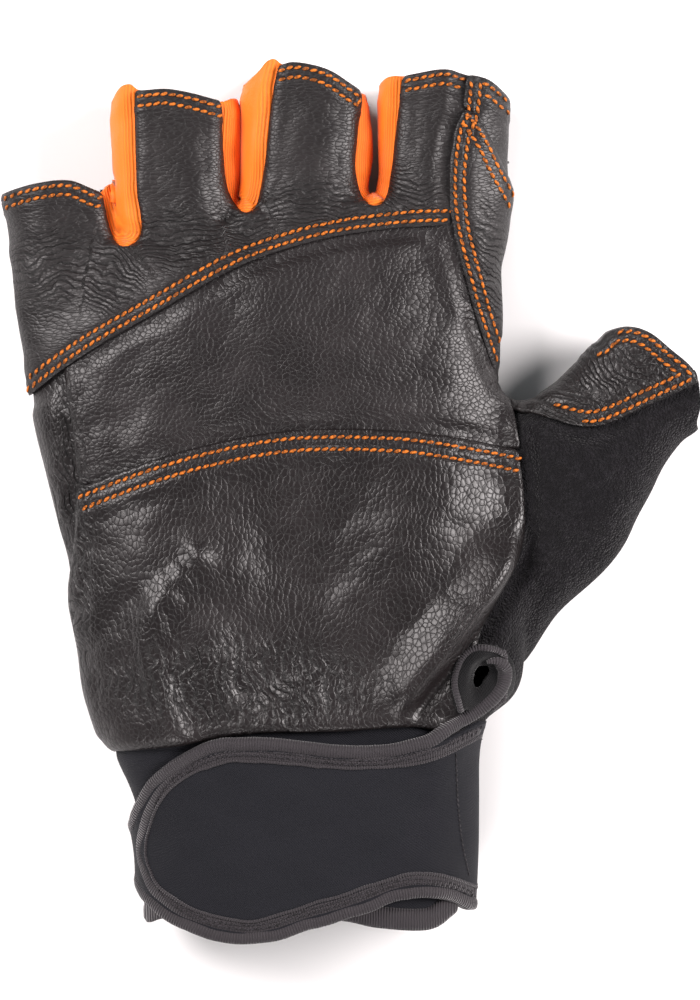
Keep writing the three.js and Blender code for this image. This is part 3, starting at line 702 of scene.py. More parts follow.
def leather_finish(name, colour, grain, spread, roughness):
    """Soft goat leather: round pebbles parted by creases, lines where it wrinkles, and a satin top, with
    painted shade in the creases, the wrinkle lines and the sewn channels.
    """
    finish = Finish(name)
    place = finish.scaled(finish.warped(5.0, 1.2), spread)
    away = finish.cells(grain, "F1", place)
    dome = 1 - away * away * 1.3
    gap = 1 - finish.cells(grain, "DISTANCE_TO_EDGE", place).clamped(0.0, 0.13)
    count = finish.attribute("crease_run") + (finish.noise(3.0, 2.0) - 0.5) * 1.6
    lines = (1 - (count * math.pi).sine().size().clamped(0.0, 0.7)) * finish.attribute("crease")
    channel = finish.attribute("channel")
    height = dome * 0.75 - gap * 0.3 + finish.noise(3.2, 2.0) * 1.2 - lines * 2.3 - channel * 3.0
    blotch = finish.noise(16.0, 3.0)
    # Painted shade: the colour darkens in the gaps between pebbles, in the wrinkle lines and in the sewn
    # channels
    painted_crease_shade = (gap * 0.5 + lines * 0.8 + channel * 0.6).clamped(0.0, 1.0)
    shade = finish.blend(blotch.clamped(0.4, 0.7), opaque(colour, 0.85), opaque(colour, 1.3))
    shade = finish.blend(painted_crease_shade, shade, opaque(colour, 0.25))
    gloss = roughness + painted_crease_shade * 0.3 + (blotch - 0.5) * 0.2
    return finish.finished(shade, gloss, height, 0.095, Specular_IOR_Level=0.42)


def pile_finish(name, colour):
    """Terry: short loops that scatter the light, with painted highlights on the loops' tops and painted shade
    between the loops and in the hollows between clumps.
    """
    finish = Finish(name)
    loops = finish.cells(0.55, "F1", finish.warped(2.0, 0.7))
    clumps = finish.noise(2.2, 3.0)
    height = clumps * 1.2 - loops * 0.8 + finish.noise(0.3, 1.0) * 0.6
    # Painted highlight and shade: each loop's top is painted lighter, its edges darker, and the low clumps
    # darker
    shade = finish.blend(loops.clamped(0.2, 0.8), opaque(colour, 2.1), opaque(colour, 0.3))
    shade = finish.blend(clumps.clamped(0.35, 0.65) * 0.5, opaque(colour, 0.5), shade)
    return finish.finished(shade, 0.97, height, 0.7, Sheen_Weight=0.08, Sheen_Roughness=0.5,
                           Specular_IOR_Level=0.1)


def weave_finish(name, colour, pitch, ridge, roughness=0.8, sheen=0.1):
    """A fine knit or weave on the object's own axes, with painted shade where the threads dip."""
    finish = Finish(name)
    parts = finish.node("ShaderNodeSeparateXYZ", {}, {0: finish.warped(12.0, 0.6)})
    across, along, up = [Socket(finish, output) for output in parts.output.node.outputs]
    turn = 2 * math.pi / pitch
    threads = (across * turn).sine() * ((along + up) * turn).sine()
    grit = finish.noise(0.5, 2.0)
    height = threads * 0.5 + grit * 0.8
    blotch = finish.noise(18.0, 2.0).clamped(0.3, 0.7)
    shade = finish.blend(blotch, opaque(colour, 0.85), opaque(colour, 1.2))
    # Painted shade: the colour darkens where the threads dip
    shade = finish.blend(threads.clamped(-1.0, 1.0) * 0.35, opaque(colour, 0.6), shade)
    return finish.finished(shade, roughness, height, ridge, Sheen_Weight=sheen, Sheen_Roughness=0.5,
                           Specular_IOR_Level=0.18)


def ribbed_finish(name, colour, pitch, ridge, roughness, sheen):
    """Ribbed knit whose ribs follow the attribute named rib, in millimetres across them, with painted shade
    in the hollows between the ribs.
    """
    finish = Finish(name)
    rib = finish.attribute("rib")
    wobble = (finish.noise(6.0, 2.0) - 0.5) * 0.5
    wave = ((rib + wobble) * (2 * math.pi / pitch)).sine() * (1 - finish.attribute("plain"))
    loops = finish.noise(0.5, 2.0)
    height = wave * 0.5 + loops * 0.5
    soft = finish.noise(9.0, 2.0).clamped(0.3, 0.7)
    # Painted shade: the colour darkens in the hollows between the ribs
    shade = finish.blend(wave.clamped(-1.0, 0.6), opaque(colour, 0.62), opaque(colour))
    shade = finish.blend(soft * 0.35, shade, opaque(colour, 0.8))
    return finish.finished(shade, roughness, height, ridge, Sheen_Weight=sheen, Sheen_Roughness=0.4,
                           Specular_IOR_Level=0.35)


def thread_finish(name, colour):
    """Twisted sewing thread."""
    finish = Finish(name)
    tone = finish.noise(0.7, 1.0).clamped(0.38, 0.6)
    shade = finish.blend(tone, opaque(colour, 0.35), opaque(colour, 1.3))
    return finish.finished(shade, 0.6, finish.noise(0.25, 1.0), 0.08, Specular_IOR_Level=0.25)


# The hand's form: one closed, smooth surface that every piece is cut from

RING_STEPS = 72
ROW_STEPS = 6
CROTCH_BALL = (5.0, 2.8, 9.0)  # half sizes of the swelling at the bottom of a notch
CROTCH_DROP = 0.2
CROTCH_HEIGHT = 14.0
FINGER_TRIM = 0.75  # each finger's inner sides stand back by this much, so that fingers stay apart


def patch(plan, at, reach):
    """A soft patch, 1 in its middle and near 0 past twice its reach, both in palm shares."""
    share = (plan - ORIGIN) / [PALM_WIDTH, PALM_LENGTH]
    return np.exp(-(((share - at) / reach) ** 2).sum(1))


def relief(plan):
    """Height in millimetres that the mounds and folds add."""
    height = np.zeros(len(plan))
    for at, reach, rise in MOUNDS:
        height += rise * PALM_THICKNESS * patch(plan, at, reach)
    for line, width, rise in FOLDS:
        distance = away_from(plan, smooth(palm_points(line)))
        height += rise * PALM_THICKNESS * bell(distance, width * PALM_WIDTH)
    return height


def tube(sections):
    """A closed tube through sections: rows of left x, y, right x, y, low and high, in millimetres."""
    rows = smooth(sections, ROW_STEPS)
    bm = bmesh.new()
    bmesh.ops.create_grid(bm, x_segments=RING_STEPS, y_segments=len(rows) - 1, size=1)
    grid = np.array([vertex.co[:2] for vertex in bm.verts])
    angle = (grid[:, 0] + 1) * math.pi
    row = rows[np.rint((grid[:, 1] + 1) / 2 * (len(rows) - 1)).astype(int)]
    across = np.sign(np.cos(angle)) * np.abs(np.cos(angle)) ** (2 / SQUARENESS)
    up = np.sign(np.sin(angle)) * np.abs(np.sin(angle)) ** (2 / SQUARENESS)
    left, right, low, high = row[:, 0:2], row[:, 2:4], row[:, 4], row[:, 5]
    plan = (left + right) / 2 + (right - left) / 2 * across[:, None]
    height = (low + high) / 2 + (high - low) / 2 * up + relief(plan) * np.maximum(up, 0)
    for vertex, place in zip(bm.verts, metres(plan, np.maximum(height, 0))):
        vertex.co = place
    bmesh.ops.remove_doubles(bm, verts=bm.verts[:], dist=0.01 * MM)
    bmesh.ops.holes_fill(bm, edges=bm.edges[:])
    bmesh.ops.recalc_face_normals(bm, faces=bm.faces[:])
    return object_of(bm, "tube")


def palm_tube():
    rows = []
    for points_of, sections in ((cuff_points, CUFF_SECTIONS), (palm_points, PALM_SECTIONS)):
        for left, right, high in sections:
            rows.append([*points_of([left, right]).ravel(), -FLATTENING, high * PALM_THICKNESS])
    return tube(rows)


def finger_tube(name):
    finger = FINGERS[name]
    trim = FINGER_TRIM / finger["width"]
    left_trim = 0 if name == "little" else trim
    right_trim = 0 if name == "index" else trim
    rows = []
    for below, above, wide, low, high in FINGER_SECTIONS:
        along = above - below * PALM_WIDTH / finger["length"]
        left, right = finger_points(name, [(-wide / 2 + left_trim, along), (wide / 2 - right_trim, along)])
        pressed = 0 if low > 0 else FLATTENING
        rows.append([*left, *right, low * FINGER_THICKNESS - pressed,
                     high * finger["high"] * FINGER_THICKNESS])
    return tube(rows)


def thumb_tube():
    rows = []
    for left, right, low, high in THUMB_SECTIONS:
        rows.append([*thumb_points([left])[0], *thumb_points([right])[0], low * THUMB_THICKNESS,
                     high * THUMB_THICKNESS])
    return tube(rows)


def crotch_ball(line):
    """A small swelling at the bottom of a notch, so that its strip runs round in a U."""
    across, along = line[line[:, 1].argmin()]
    middle = np.array([across, along - CROTCH_DROP, CROTCH_HEIGHT])
    bm = bmesh.new()
    bmesh.ops.create_uvsphere(bm, u_segments=24, v_segments=12, radius=1)
    bmesh.ops.scale(bm, vec=np.array(CROTCH_BALL) * MM, verts=bm.verts[:])
    bmesh.ops.translate(bm, vec=middle * MM, verts=bm.verts[:])
    return object_of(bm, "crotch")


def wrinkles(plan):
    """Soft folds in bundles of bent lines: their height, how creased each place is, and the lines' count."""
    height, creased, count = np.zeros(len(plan)), np.zeros(len(plan)), np.zeros(len(plan))
    for index, (at, reach, angle, spacing, depth) in enumerate(WRINKLES):
        envelope = patch(plan, at, reach)
        turn = math.radians(angle)
        along = plan[:, 0] * math.cos(turn) + plan[:, 1] * math.sin(turn)
        bent = along + 1.6 * ripple(plan, 17.0, 30 + index) + 0.7 * ripple(plan, 7.0, 60 + index)
        height -= envelope * depth * (1 - np.abs(np.sin(math.pi * bent / spacing)) ** 0.6)
        stronger = envelope > creased
        creased[stronger] = envelope[stronger]
        count[stronger] = (bent / (spacing * FINE_LINES))[stronger]
    return height, creased, count


def ball_ridge(plan):
    """Height in millimetres of the fold that runs round the ball of the thumb: steep on its outer side."""
    line = smooth(palm_points(BALL_RIDGE))
    beside_it, run, _ = nearest_on(plan, line, 25)
    length = lengths_along(line)[-1]
    fade = ease(run, 0.0, 9.0) * (1 - ease(run, length - 17.0, length))
    crest = 3.1 + 1.1 * ease(run, 0.4 * length, 0.7 * length)
    inner = crest * bell(beside_it, 3.7) - 0.9 * bell(beside_it - 9.5, 4.0)
    outer = crest * bell(beside_it, 2.6) - 2.2 * bell(beside_it + 5.2, 2.2)
    return fade * np.where(beside_it > 0, inner, outer)


class Work:
    """What the operators share: the hand's form, its tree for rays, and the trees of finished outer faces."""
    form = None
    middles = None
    tree = None
    outer = {}


def fused(tubes, voxel, smoothing):
    """One smooth closed surface over tubes that run into each other."""
    for other in tubes[1:]:
        bm = bmesh.new()
        bm.from_mesh(tubes[0].data)
        bm.from_mesh(other.data)
        bm.to_mesh(tubes[0].data)
        bm.free()
        bpy.data.objects.remove(other)
    form = tubes[0]
    remesh = form.modifiers.new("remesh", "REMESH")
    remesh.mode = "VOXEL"
    remesh.voxel_size = voxel
    soften = form.modifiers.new("soften", "SMOOTH")
    soften.factor = 0.5
    soften.iterations = smoothing
    apply_modifiers(form)
    return form


def smooth_along(mesh, line, reach, rounds):
    """Smooths the form along a line, where two of its tubes meet in a sharp crease."""
    bm = bmesh.new()
    bm.from_mesh(mesh)
    near = away_from(coordinates(mesh)[:, :2] / MM, smooth(palm_points(line))) < reach
    verts = [vertex for vertex, close in zip(bm.verts, near) if close]
    for _ in range(rounds):
        bmesh.ops.smooth_vert(bm, verts=verts, factor=0.5, use_axis_x=True, use_axis_y=True, use_axis_z=True)
    bm.to_mesh(mesh)
    bm.free()


def build_form(sizes):
    tubes = [palm_tube(), *[finger_tube(name) for name in FINGERS], thumb_tube()]
    tubes += [crotch_ball(line) for line in NOTCHES.values()]
    form = fused(tubes, sizes.fineness, sizes.softness)
    mesh = form.data
    for line, reach, rounds in CREASES:
        smooth_along(mesh, line, reach, rounds)
    positions, normals = coordinates(mesh) / MM, rows_of(mesh.vertices, "normal")
    plan = positions[:, :2]
    facing = ease(normals[:, 2], 0.0, 0.55)
    soft = 0.35 * ripple(plan, 21.0, 3) + 0.18 * ripple(plan, 9.0, 5)
    height, _, _ = wrinkles(plan)
    rise = (height * sizes.wrinkling + soft + ball_ridge(plan)) * facing
    positions += normals * rise[:, None]
    positions[:, 2] = np.maximum(positions[:, 2], 0)
    place_vertices(mesh, positions * MM)
    form.name = "hand_form"
    Work.form = form
    Work.middles = rows_of(mesh.polygons, "center") / MM
    Work.tree = tree_of(form)


def tree_of(piece):
    bm = bmesh.new()
    bm.from_mesh(piece.data)
    tree = BVHTree.FromBMesh(bm)
    bm.free()
    return tree


ABOVE_ALL = 90.0  # rays start at this height, above every piece
SIDE_HEIGHT = 12.0  # tapes run along the hand's side at this height where they would go lower


def from_above(tree, point):
    """The place and normal of a surface straight below a plan point, or nothing."""
    place, normal, _, _ = tree.ray_cast(Vector((point[0], point[1], ABOVE_ALL)) * MM, Vector((0, 0, -1)))
    return place, normal


def on_form(point):
    """The place and normal of the form straight below a plan point, or on the hand's side next to it."""
    place, normal = from_above(Work.tree, point)
    if place is None or place.z / MM < SIDE_HEIGHT:
        place, normal, _, _ = Work.tree.find_nearest(Vector((point[0], point[1], SIDE_HEIGHT)) * MM)
    return place, normal


# Cutting pieces from the form

CATCH = 0.9  # a rim vertex this near a seam moves onto it, in millimetres
UNDERLAP = 2.6  # how far a piece runs on beneath its neighbour


def cut_piece(name, region, edges, levels=()):
    """The form's faces whose middles lie in region(plan, heights), with the rim drawn onto plan lines
    and onto heights."""
    bm = bmesh.new()
    bm.from_mesh(Work.form.data)
    keep = region(Work.middles[:, :2], Work.middles[:, 2])
    bmesh.ops.delete(bm, geom=[face for face, stays in zip(bm.faces[:], keep) if not stays], context="FACES")
    bm.normal_update()
    rim = [vertex for vertex in bm.verts if vertex.is_boundary]
    places = np.array([vertex.co for vertex in rim]) / MM
    if edges:
        found = [nearest_on(places[:, :2], line) for line in edges]
        distances = np.abs([one[0] for one in found])
        closest = distances.argmin(0)
        for index, place in enumerate(places):
            if distances[closest[index], index] < CATCH:
                place[:2] = found[closest[index]][2][index]
    for level in levels:
        near = np.abs(places[:, 2] - level) < CATCH
        places[near, 2] = level
    for vertex, place in zip(rim, places):
        vertex.co = place * MM
    bmesh.ops.remove_doubles(bm, verts=bm.verts[:], dist=0.1 * MM)
    bmesh.ops.delete(bm, geom=[vertex for vertex in bm.verts if not vertex.link_faces], context="VERTS")
    keep_largest(bm)
    even_rim(bm)
    return object_of(bm, name)


def even_rim(bm, rounds=3):
    """Draws each rim vertex towards the middle of its two neighbours on the rim."""
    for _ in range(rounds):
        moved = []
        for vertex in bm.verts:
            beside_it = [edge.other_vert(vertex).co for edge in vertex.link_edges if edge.is_boundary]
            if len(beside_it) == 2:
                moved.append((vertex, (vertex.co * 2 + beside_it[0] + beside_it[1]) / 4))
        for vertex, place in moved:
            vertex.co = place


def keep_largest(bm):
    """Drops loose crumbs of faces, so that a piece is one connected sheet."""
    left = set(bm.faces)
    groups = []
    while left:
        stack = [left.pop()]
        group = list(stack)
        while stack:
            for edge in stack.pop().edges:
                for face in edge.link_faces:
                    if face in left:
                        left.remove(face)
                        stack.append(face)
                        group.append(face)
        groups.append(group)
    groups.sort(key=len)
    for group in groups[:-1]:
        bmesh.ops.delete(bm, geom=group, context="FACES")


def raise_piece(piece, rise):
    """Moves every point out along its normal by rise(plan, heights, normals) millimetres, above the table."""
    mesh = piece.data
    positions, normals = coordinates(mesh) / MM, rows_of(mesh.vertices, "normal")
    height = rise(positions[:, :2], positions[:, 2], normals)
    positions += normals * height[:, None]
    positions[:, 2] = np.maximum(positions[:, 2], 0)
    place_vertices(mesh, positions * MM)
    smooth_shaded(piece)


def thicken(piece, thickness):
    """Gives a sheet its wall, inwards from the outer face."""
    wall = piece.modifiers.new("wall", "SOLIDIFY")
    wall.thickness = thickness * MM
    wall.offset = -1


def rows_beside(sizes):
    """Distances of the two stitch rows from a lapped seam's edge, in millimetres."""
    first = sizes.row_inset / MM
    return first, first + sizes.row_gap / MM


def lap(distance, rows):
    """Rise of a leather edge that laps over its neighbour: a rolled edge, two sewn channels, then flat."""
    first, second = rows
    rise = 0.55 * (1 - ease(distance, 5.0, 9.5)) - 0.3 * (1 - ease(distance, 0.0, 0.8))
    return rise - 0.16 * bell(distance - first, 0.6) - 0.16 * bell(distance - second, 0.6)


def tuck(distance):
    """Fall of a piece where it runs in beneath a lapping edge."""
    return -0.8 * (1 - ease(distance, 1.6, 4.6))


def rolled_edge(distance):
    """Rise of an edge that turns in on itself."""
    return 0.45 * (1 - ease(distance, 1.6, 4.5)) - 0.4 * (1 - ease(distance, 0.0, 0.9))


def finger_hem(distance, rows):
    """Rise of a folded hem: a rolled end, and the double leather sewn down behind it."""
    first, second = rows
    rise = 0.35 * (1 - ease(distance, 4.2, 6.0)) - 0.5 * (1 - ease(distance, 0.0, 1.0))
    return rise - 0.14 * bell(distance - first, 0.55) - 0.14 * bell(distance - second, 0.55)


def leather_piece(name, sizes, region, low=None, puff=0.0, rows=None, **seams):
    """One leather panel: cut, shaped along each of its seams, and given its wall. Seams are lists of plan
    lines: over laps its neighbour, under and slightly_under run in beneath it, hem is folded, rolled turns
    in on itself, and free is cut."""
    rows = rows or rows_beside(sizes)
    edges = [line for kind, lines in seams.items() if "under" not in kind for line in lines]
    hidden = [line for kind, lines in seams.items() if "under" in kind for line in lines]
    showing = [line for kind in ("over", "rolled", "free") for line in seams.get(kind, ())]

    def inside(plan, heights):
        keep = region(plan)
        if hidden:
            beneath = away_from(plan, *hidden) < UNDERLAP
            if showing:
                beneath &= away_from(plan, *showing) > UNDERLAP * 1.3
            keep |= beneath
        keep &= inside_outline(plan, GLOVE)
        if low is not None:
            keep &= heights > low
        return keep

    piece = cut_piece(name, inside, edges, [] if low is None else [low])
    shapes = {
        "over": lambda far: lap(far, rows),
        "under": tuck,
        "slightly_under": lambda far: 0.45 * tuck(far),
        "hem": lambda far: finger_hem(far, rows),
        "rolled": rolled_edge,
    }

    def rise(plan, heights, normals):
        total = np.full(len(plan), puff)
        for kind, shape in shapes.items():
            if seams.get(kind):
                total += shape(away_from(plan, *seams[kind]))
        if low is not None:
            total -= 0.35 * (1 - ease(heights, low, low + 1.2))
        return total

    raise_piece(piece, rise)
    plan = coordinates(piece.data)[:, :2] / MM
    sewn = np.zeros(len(plan))
    for line in (*seams.get("over", ()), *seams.get("hem", ())):
        distance = np.abs(nearest_on(plan, line)[0])
        for row in rows:
            sewn = np.maximum(sewn, bell(distance - row, 0.5))
    # channel marks the sewn rows, for their bump and for the painted shade along them
    store(piece.data, "channel", sewn)
    _, creased, count = wrinkles(plan)
    store(piece.data, "crease", ease(creased, 0.1, 0.65))
    store(piece.data, "crease_run", count)
    Work.outer[name] = tree_of(piece)
    thicken(piece, sizes.wall / MM)
    return piece


def sheet_piece(name, region, edges, rise, thickness, levels=()):
    """A panel of cloth or neoprene, cut from the form, moved out and given its wall."""
    piece = cut_piece(name, region, edges, levels)
    raise_piece(piece, rise)
    Work.outer[name] = tree_of(piece)
    thicken(piece, thickness)
    return piece


TAPE_STEPS = 16  # faces round a tape


def tape(name, path, up, width, thickness, taper=0.0):
    """A rounded tape along a line of places, each with its own upward way. Its attribute rib holds the
    length run so far. It starts thin where a taper length is given."""
    way = np.gradient(path, axis=0)
    way /= np.linalg.norm(way, axis=1, keepdims=True)
    side = np.cross(way, up)
    side /= np.linalg.norm(side, axis=1, keepdims=True)
    above = np.cross(side, way)
    bm = bmesh.new()
    bmesh.ops.create_grid(bm, x_segments=TAPE_STEPS, y_segments=len(path) - 1, size=1)
    grid = np.array([vertex.co[:2] for vertex in bm.verts])
    angle = (grid[:, 0] + 1) * math.pi
    row = np.rint((grid[:, 1] + 1) / 2 * (len(path) - 1)).astype(int)
    across = np.sign(np.cos(angle)) * np.abs(np.cos(angle)) ** 0.7 * width / 2
    high = np.sign(np.sin(angle)) * np.abs(np.sin(angle)) ** 0.8 * thickness / 2
    full = 0.35 + 0.65 * ease(lengths_along(path)[row], 0.0, taper) if taper else np.ones(len(row))
    places = path[row] + side[row] * (across * full)[:, None] + above[row] * (high * full)[:, None]
    for vertex, place in zip(bm.verts, places):
        vertex.co = place * MM
    ribs = bm.verts.layers.float.new("rib")
    for vertex, value in zip(bm.verts, lengths_along(path)[row]):
        vertex[ribs] = value
    bmesh.ops.remove_doubles(bm, verts=bm.verts[:], dist=0.002 * MM)
    bmesh.ops.holes_fill(bm, edges=[edge for edge in bm.edges if edge.is_boundary])
    bmesh.ops.recalc_face_normals(bm, faces=bm.faces[:])
    piece = object_of(bm, name)
    smooth_shaded(piece)
    return piece


def lifted_strap(plan, lift):
    """How far the strap stands off the hand: it comes down to the cuff where it is sewn on."""
    left = (STRAP_RIGHT - plan[:, 0]) / STRAP_LENGTH
    return lift - STRAP_SINK * (1 - ease(left, 0.0, 0.16))


def draped_tape(name, line, width, thickness, lift, taper=0.0):
    """A tape laid along a plan line on the hand, with its middle lifted off it."""
    line, _ = evenly(line, 1.0)
    line = line[line[:, 0] < STRAP_RIGHT + TAPE_REACH]
    path, up = [], []
    for point, height in zip(line, np.maximum(lifted_strap(line, lift), LEAST_LIFT)):
        place, normal = on_form(point)
        path.append(np.array(place) / MM + np.array(normal) * height)
        up.append(np.array(normal))
    return tape(name, smooth(path, 2), smooth(up, 2), width, thickness, taper)


# Stitching

STITCH_SLANT = 17.0  # degrees from the row's own way
STITCH_FULLNESS = 0.62  # half a stitch's width beside the thread's thickness
FINE_STITCH = 0.62  # size of the bindings' stitches beside the leather's
STEEPEST = 0.3  # stitches are left out where the surface's normal has a smaller upward share
STRAP_ROWS = (3.6, 4.5)  # the strap's stitch rows, from its edge


def stitch_row(bm, tree, line, sizes, clear, scale):
    """Small slanted stitches laid on a surface along a plan line, at clear(places) only."""
    places, ways = evenly(line, sizes.stitch_pitch * scale / MM)
    thread = sizes.thread * scale
    draw = np.random.default_rng(len(places))
    for place, way, wanted in zip(places, ways, clear(places)):
        if not wanted:
            continue
        point, normal = from_above(tree, place)
        if point is None or normal.z < STEEPEST:
            continue
        turn = math.radians(STITCH_SLANT + draw.uniform(-4, 4))
        along = Vector((way[0] * math.cos(turn) - way[1] * math.sin(turn),
                        way[0] * math.sin(turn) + way[1] * math.cos(turn), 0))
        along = (along - normal * along.dot(normal)).normalized()
        side = normal.cross(along)
        made = bmesh.ops.create_icosphere(bm, subdivisions=1, radius=1)["verts"]
        length = sizes.stitch_length * scale * draw.uniform(0.93, 1.05) / 2
        for vertex in made:
            x, y, z = vertex.co
            lifted = z * thread * 0.5 + thread * (0.3 - 0.35 * x * x)
            vertex.co = point + along * (x * length) + side * (y * thread * STITCH_FULLNESS) + normal * lifted


def everywhere(places):
    return np.ones(len(places), bool)


def right_of(line, gap):
    """Only places to the right of a line, by a gap."""
    return lambda places: nearest_on(places, line, ALL_OF_HAND)[0] < -gap


def left_of(line, gap):
    """Only places to the left of a line, by a gap."""
    return lambda places: nearest_on(places, line, ALL_OF_HAND)[0] > gap


def on_fingers(places):
    """Only places on the finger panel: left of the index seam and in none of the notches."""
    keep = right_of(INDEX_TOP, 0.6)(places)
    for outline in NOTCH_OUTLINES:
        keep &= ~inside_outline(places, outline)
    return keep


def stitching(name, panel, lines, sizes, material, clear=everywhere, scale=1.0):
    """Rows of stitches on a finished panel, as one piece."""
    bm = bmesh.new()
    for line in lines:
        stitch_row(bm, Work.outer[panel], line, sizes, clear, scale)
    piece = object_of(bm, name)
    soften = piece.modifiers.new("soften", "SUBSURF")
    soften.levels = soften.render_levels = 1
    smooth_shaded(piece)
    piece.data.materials.append(material)
    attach(piece, BODY)
    return piece


# Sizes and colours that a user would change

class GLOVE_PG_sizes(bpy.types.PropertyGroup):
    """Sizes of the leatherwork and of its stitching."""
    fineness: bpy.props.FloatProperty(
        name="Fineness", description="Size of the faces that the form is built from",
        default=0.0008, min=0.0004, unit="LENGTH", precision=5)
    softness: bpy.props.IntProperty(
        name="Softness", description="How many times the form is smoothed", default=14, min=0)
    wrinkling: bpy.props.FloatProperty(
        name="Wrinkling", description="Strength of the creases in the leather", default=1.0, min=0.0)
    wall: bpy.props.FloatProperty(
        name="Leather thickness", description="Thickness of the leather",
        default=0.0012, unit="LENGTH", precision=5)
    row_inset: bpy.props.FloatProperty(
        name="Row inset", description="From a leather edge to its first stitch row",
        default=0.0013, unit="LENGTH", precision=5)
    row_gap: bpy.props.FloatProperty(
        name="Row gap", description="Between the two rows of a double seam",
        default=0.0021, unit="LENGTH", precision=5)
    stitch_pitch: bpy.props.FloatProperty(
        name="Stitch pitch", description="From one stitch to the next",
        default=0.00185, unit="LENGTH", precision=5)
    stitch_length: bpy.props.FloatProperty(
        name="Stitch length", description="Length of one stitch",
        default=0.0023, unit="LENGTH", precision=5)
    thread: bpy.props.FloatProperty(
        name="Thread", description="Thickness of the sewing thread",
        default=0.0008, unit="LENGTH", precision=5)


def colour(name, description, default):
    return bpy.props.FloatVectorProperty(name=name, description=description, subtype="COLOR", default=default,
                                         min=0.0, max=1.0)


class GLOVE_PG_colours(bpy.types.PropertyGroup):
    """Colours of the glove's materials, as linear shares of light."""
    leather: colour("Leather", "Smooth palm leather", (0.0095, 0.0072, 0.0075))
    grain: colour("Grained leather", "Padded patch across the palm", (0.01, 0.0076, 0.008))
    strips: colour("Strips", "Stretch strips between the fingers", (1.0, 0.2, 0.01))
    thread: colour("Thread", "Sewing thread of the leather", (0.42, 0.112, 0.009))
    terry: colour("Terry", "Terry cloth beside the thumb", (0.0115, 0.0105, 0.0125))
    knit: colour("Knit", "Knitted back of the hand", (0.018, 0.018, 0.02))
    neoprene: colour("Neoprene", "Wrist strap and cuff", (0.0085, 0.009, 0.0135))
    binding: colour("Binding", "Ribbed tape round the strap and the cuff", (0.028, 0.0235, 0.0275))
    lining: colour("Keyhole lining", "Cloth inside the keyhole", (0.005, 0.005, 0.006))
    grey_thread: colour("Grey thread", "Sewing thread of the bindings", (0.02, 0.018, 0.021))


def sizes_now():
    return bpy.context.scene.glove_sizes


def colours_now():
    return bpy.context.scene.glove_colours


def made_once(finish, name, *settings):
    """The material of a name, made the first time that a piece asks for it."""
    return bpy.data.materials.get(name) or finish(name, *settings)


def leather():
    return made_once(leather_finish, "goat_leather", colours_now().leather, 1.1, (1.0, 0.8, 1.0), 0.35)


def finger_leather():
    return made_once(leather_finish, "fine_leather", colours_now().leather, 0.95, (0.45, 1.3, 1.0), 0.43)


def grain_leather():
    return made_once(leather_finish, "pebbled_leather", colours_now().grain, 0.95, (0.8, 1.0, 1.0), 0.38)


def strip_cloth():
    return made_once(ribbed_finish, "stretch_strips", colours_now().strips, 0.85, 0.16, 0.62, 0.15)


def binding_cloth():
    return made_once(ribbed_finish, "binding_tape", colours_now().binding, 0.62, 0.22, 0.75, 0.25)


def neoprene():
    return made_once(weave_finish, "strap_neoprene", colours_now().neoprene, 0.6, 0.1, 0.75, 0.05)


# Places on the plan that a piece covers

def within(*outlines, clear=()):
    """A test for plan points that lie in one of some outlines and in none of others."""
    def test(plan):
        keep = np.zeros(len(plan), bool)
        for outline in outlines:
            keep |= inside_outline(plan, outline)
        for outline in clear:
            keep &= ~inside_outline(plan, outline)
        return keep
    return test


def off_the_slit(plan):
    """Clear of the keyhole and of the slit that runs down from it."""
    return ~inside_outline(plan, KEYHOLE) & (away_from(plan, SLIT) > SLIT_HALF)


def slit_open(plan, heights):
    """Clear of the slit, which only parts the palm's side."""
    return (away_from(plan, SLIT) > SLIT_HALF) | (heights < BACK_SEAM_HEIGHT)


class GLOVE_OT_form(bpy.types.Operator):
    """Builds the hand's form, the smooth closed surface that the pieces are cut from"""
    bl_idname = "glove.form"
    bl_label = "Hand form"

    def execute(self, context):
        build_form(sizes_now())
        return {"FINISHED"}


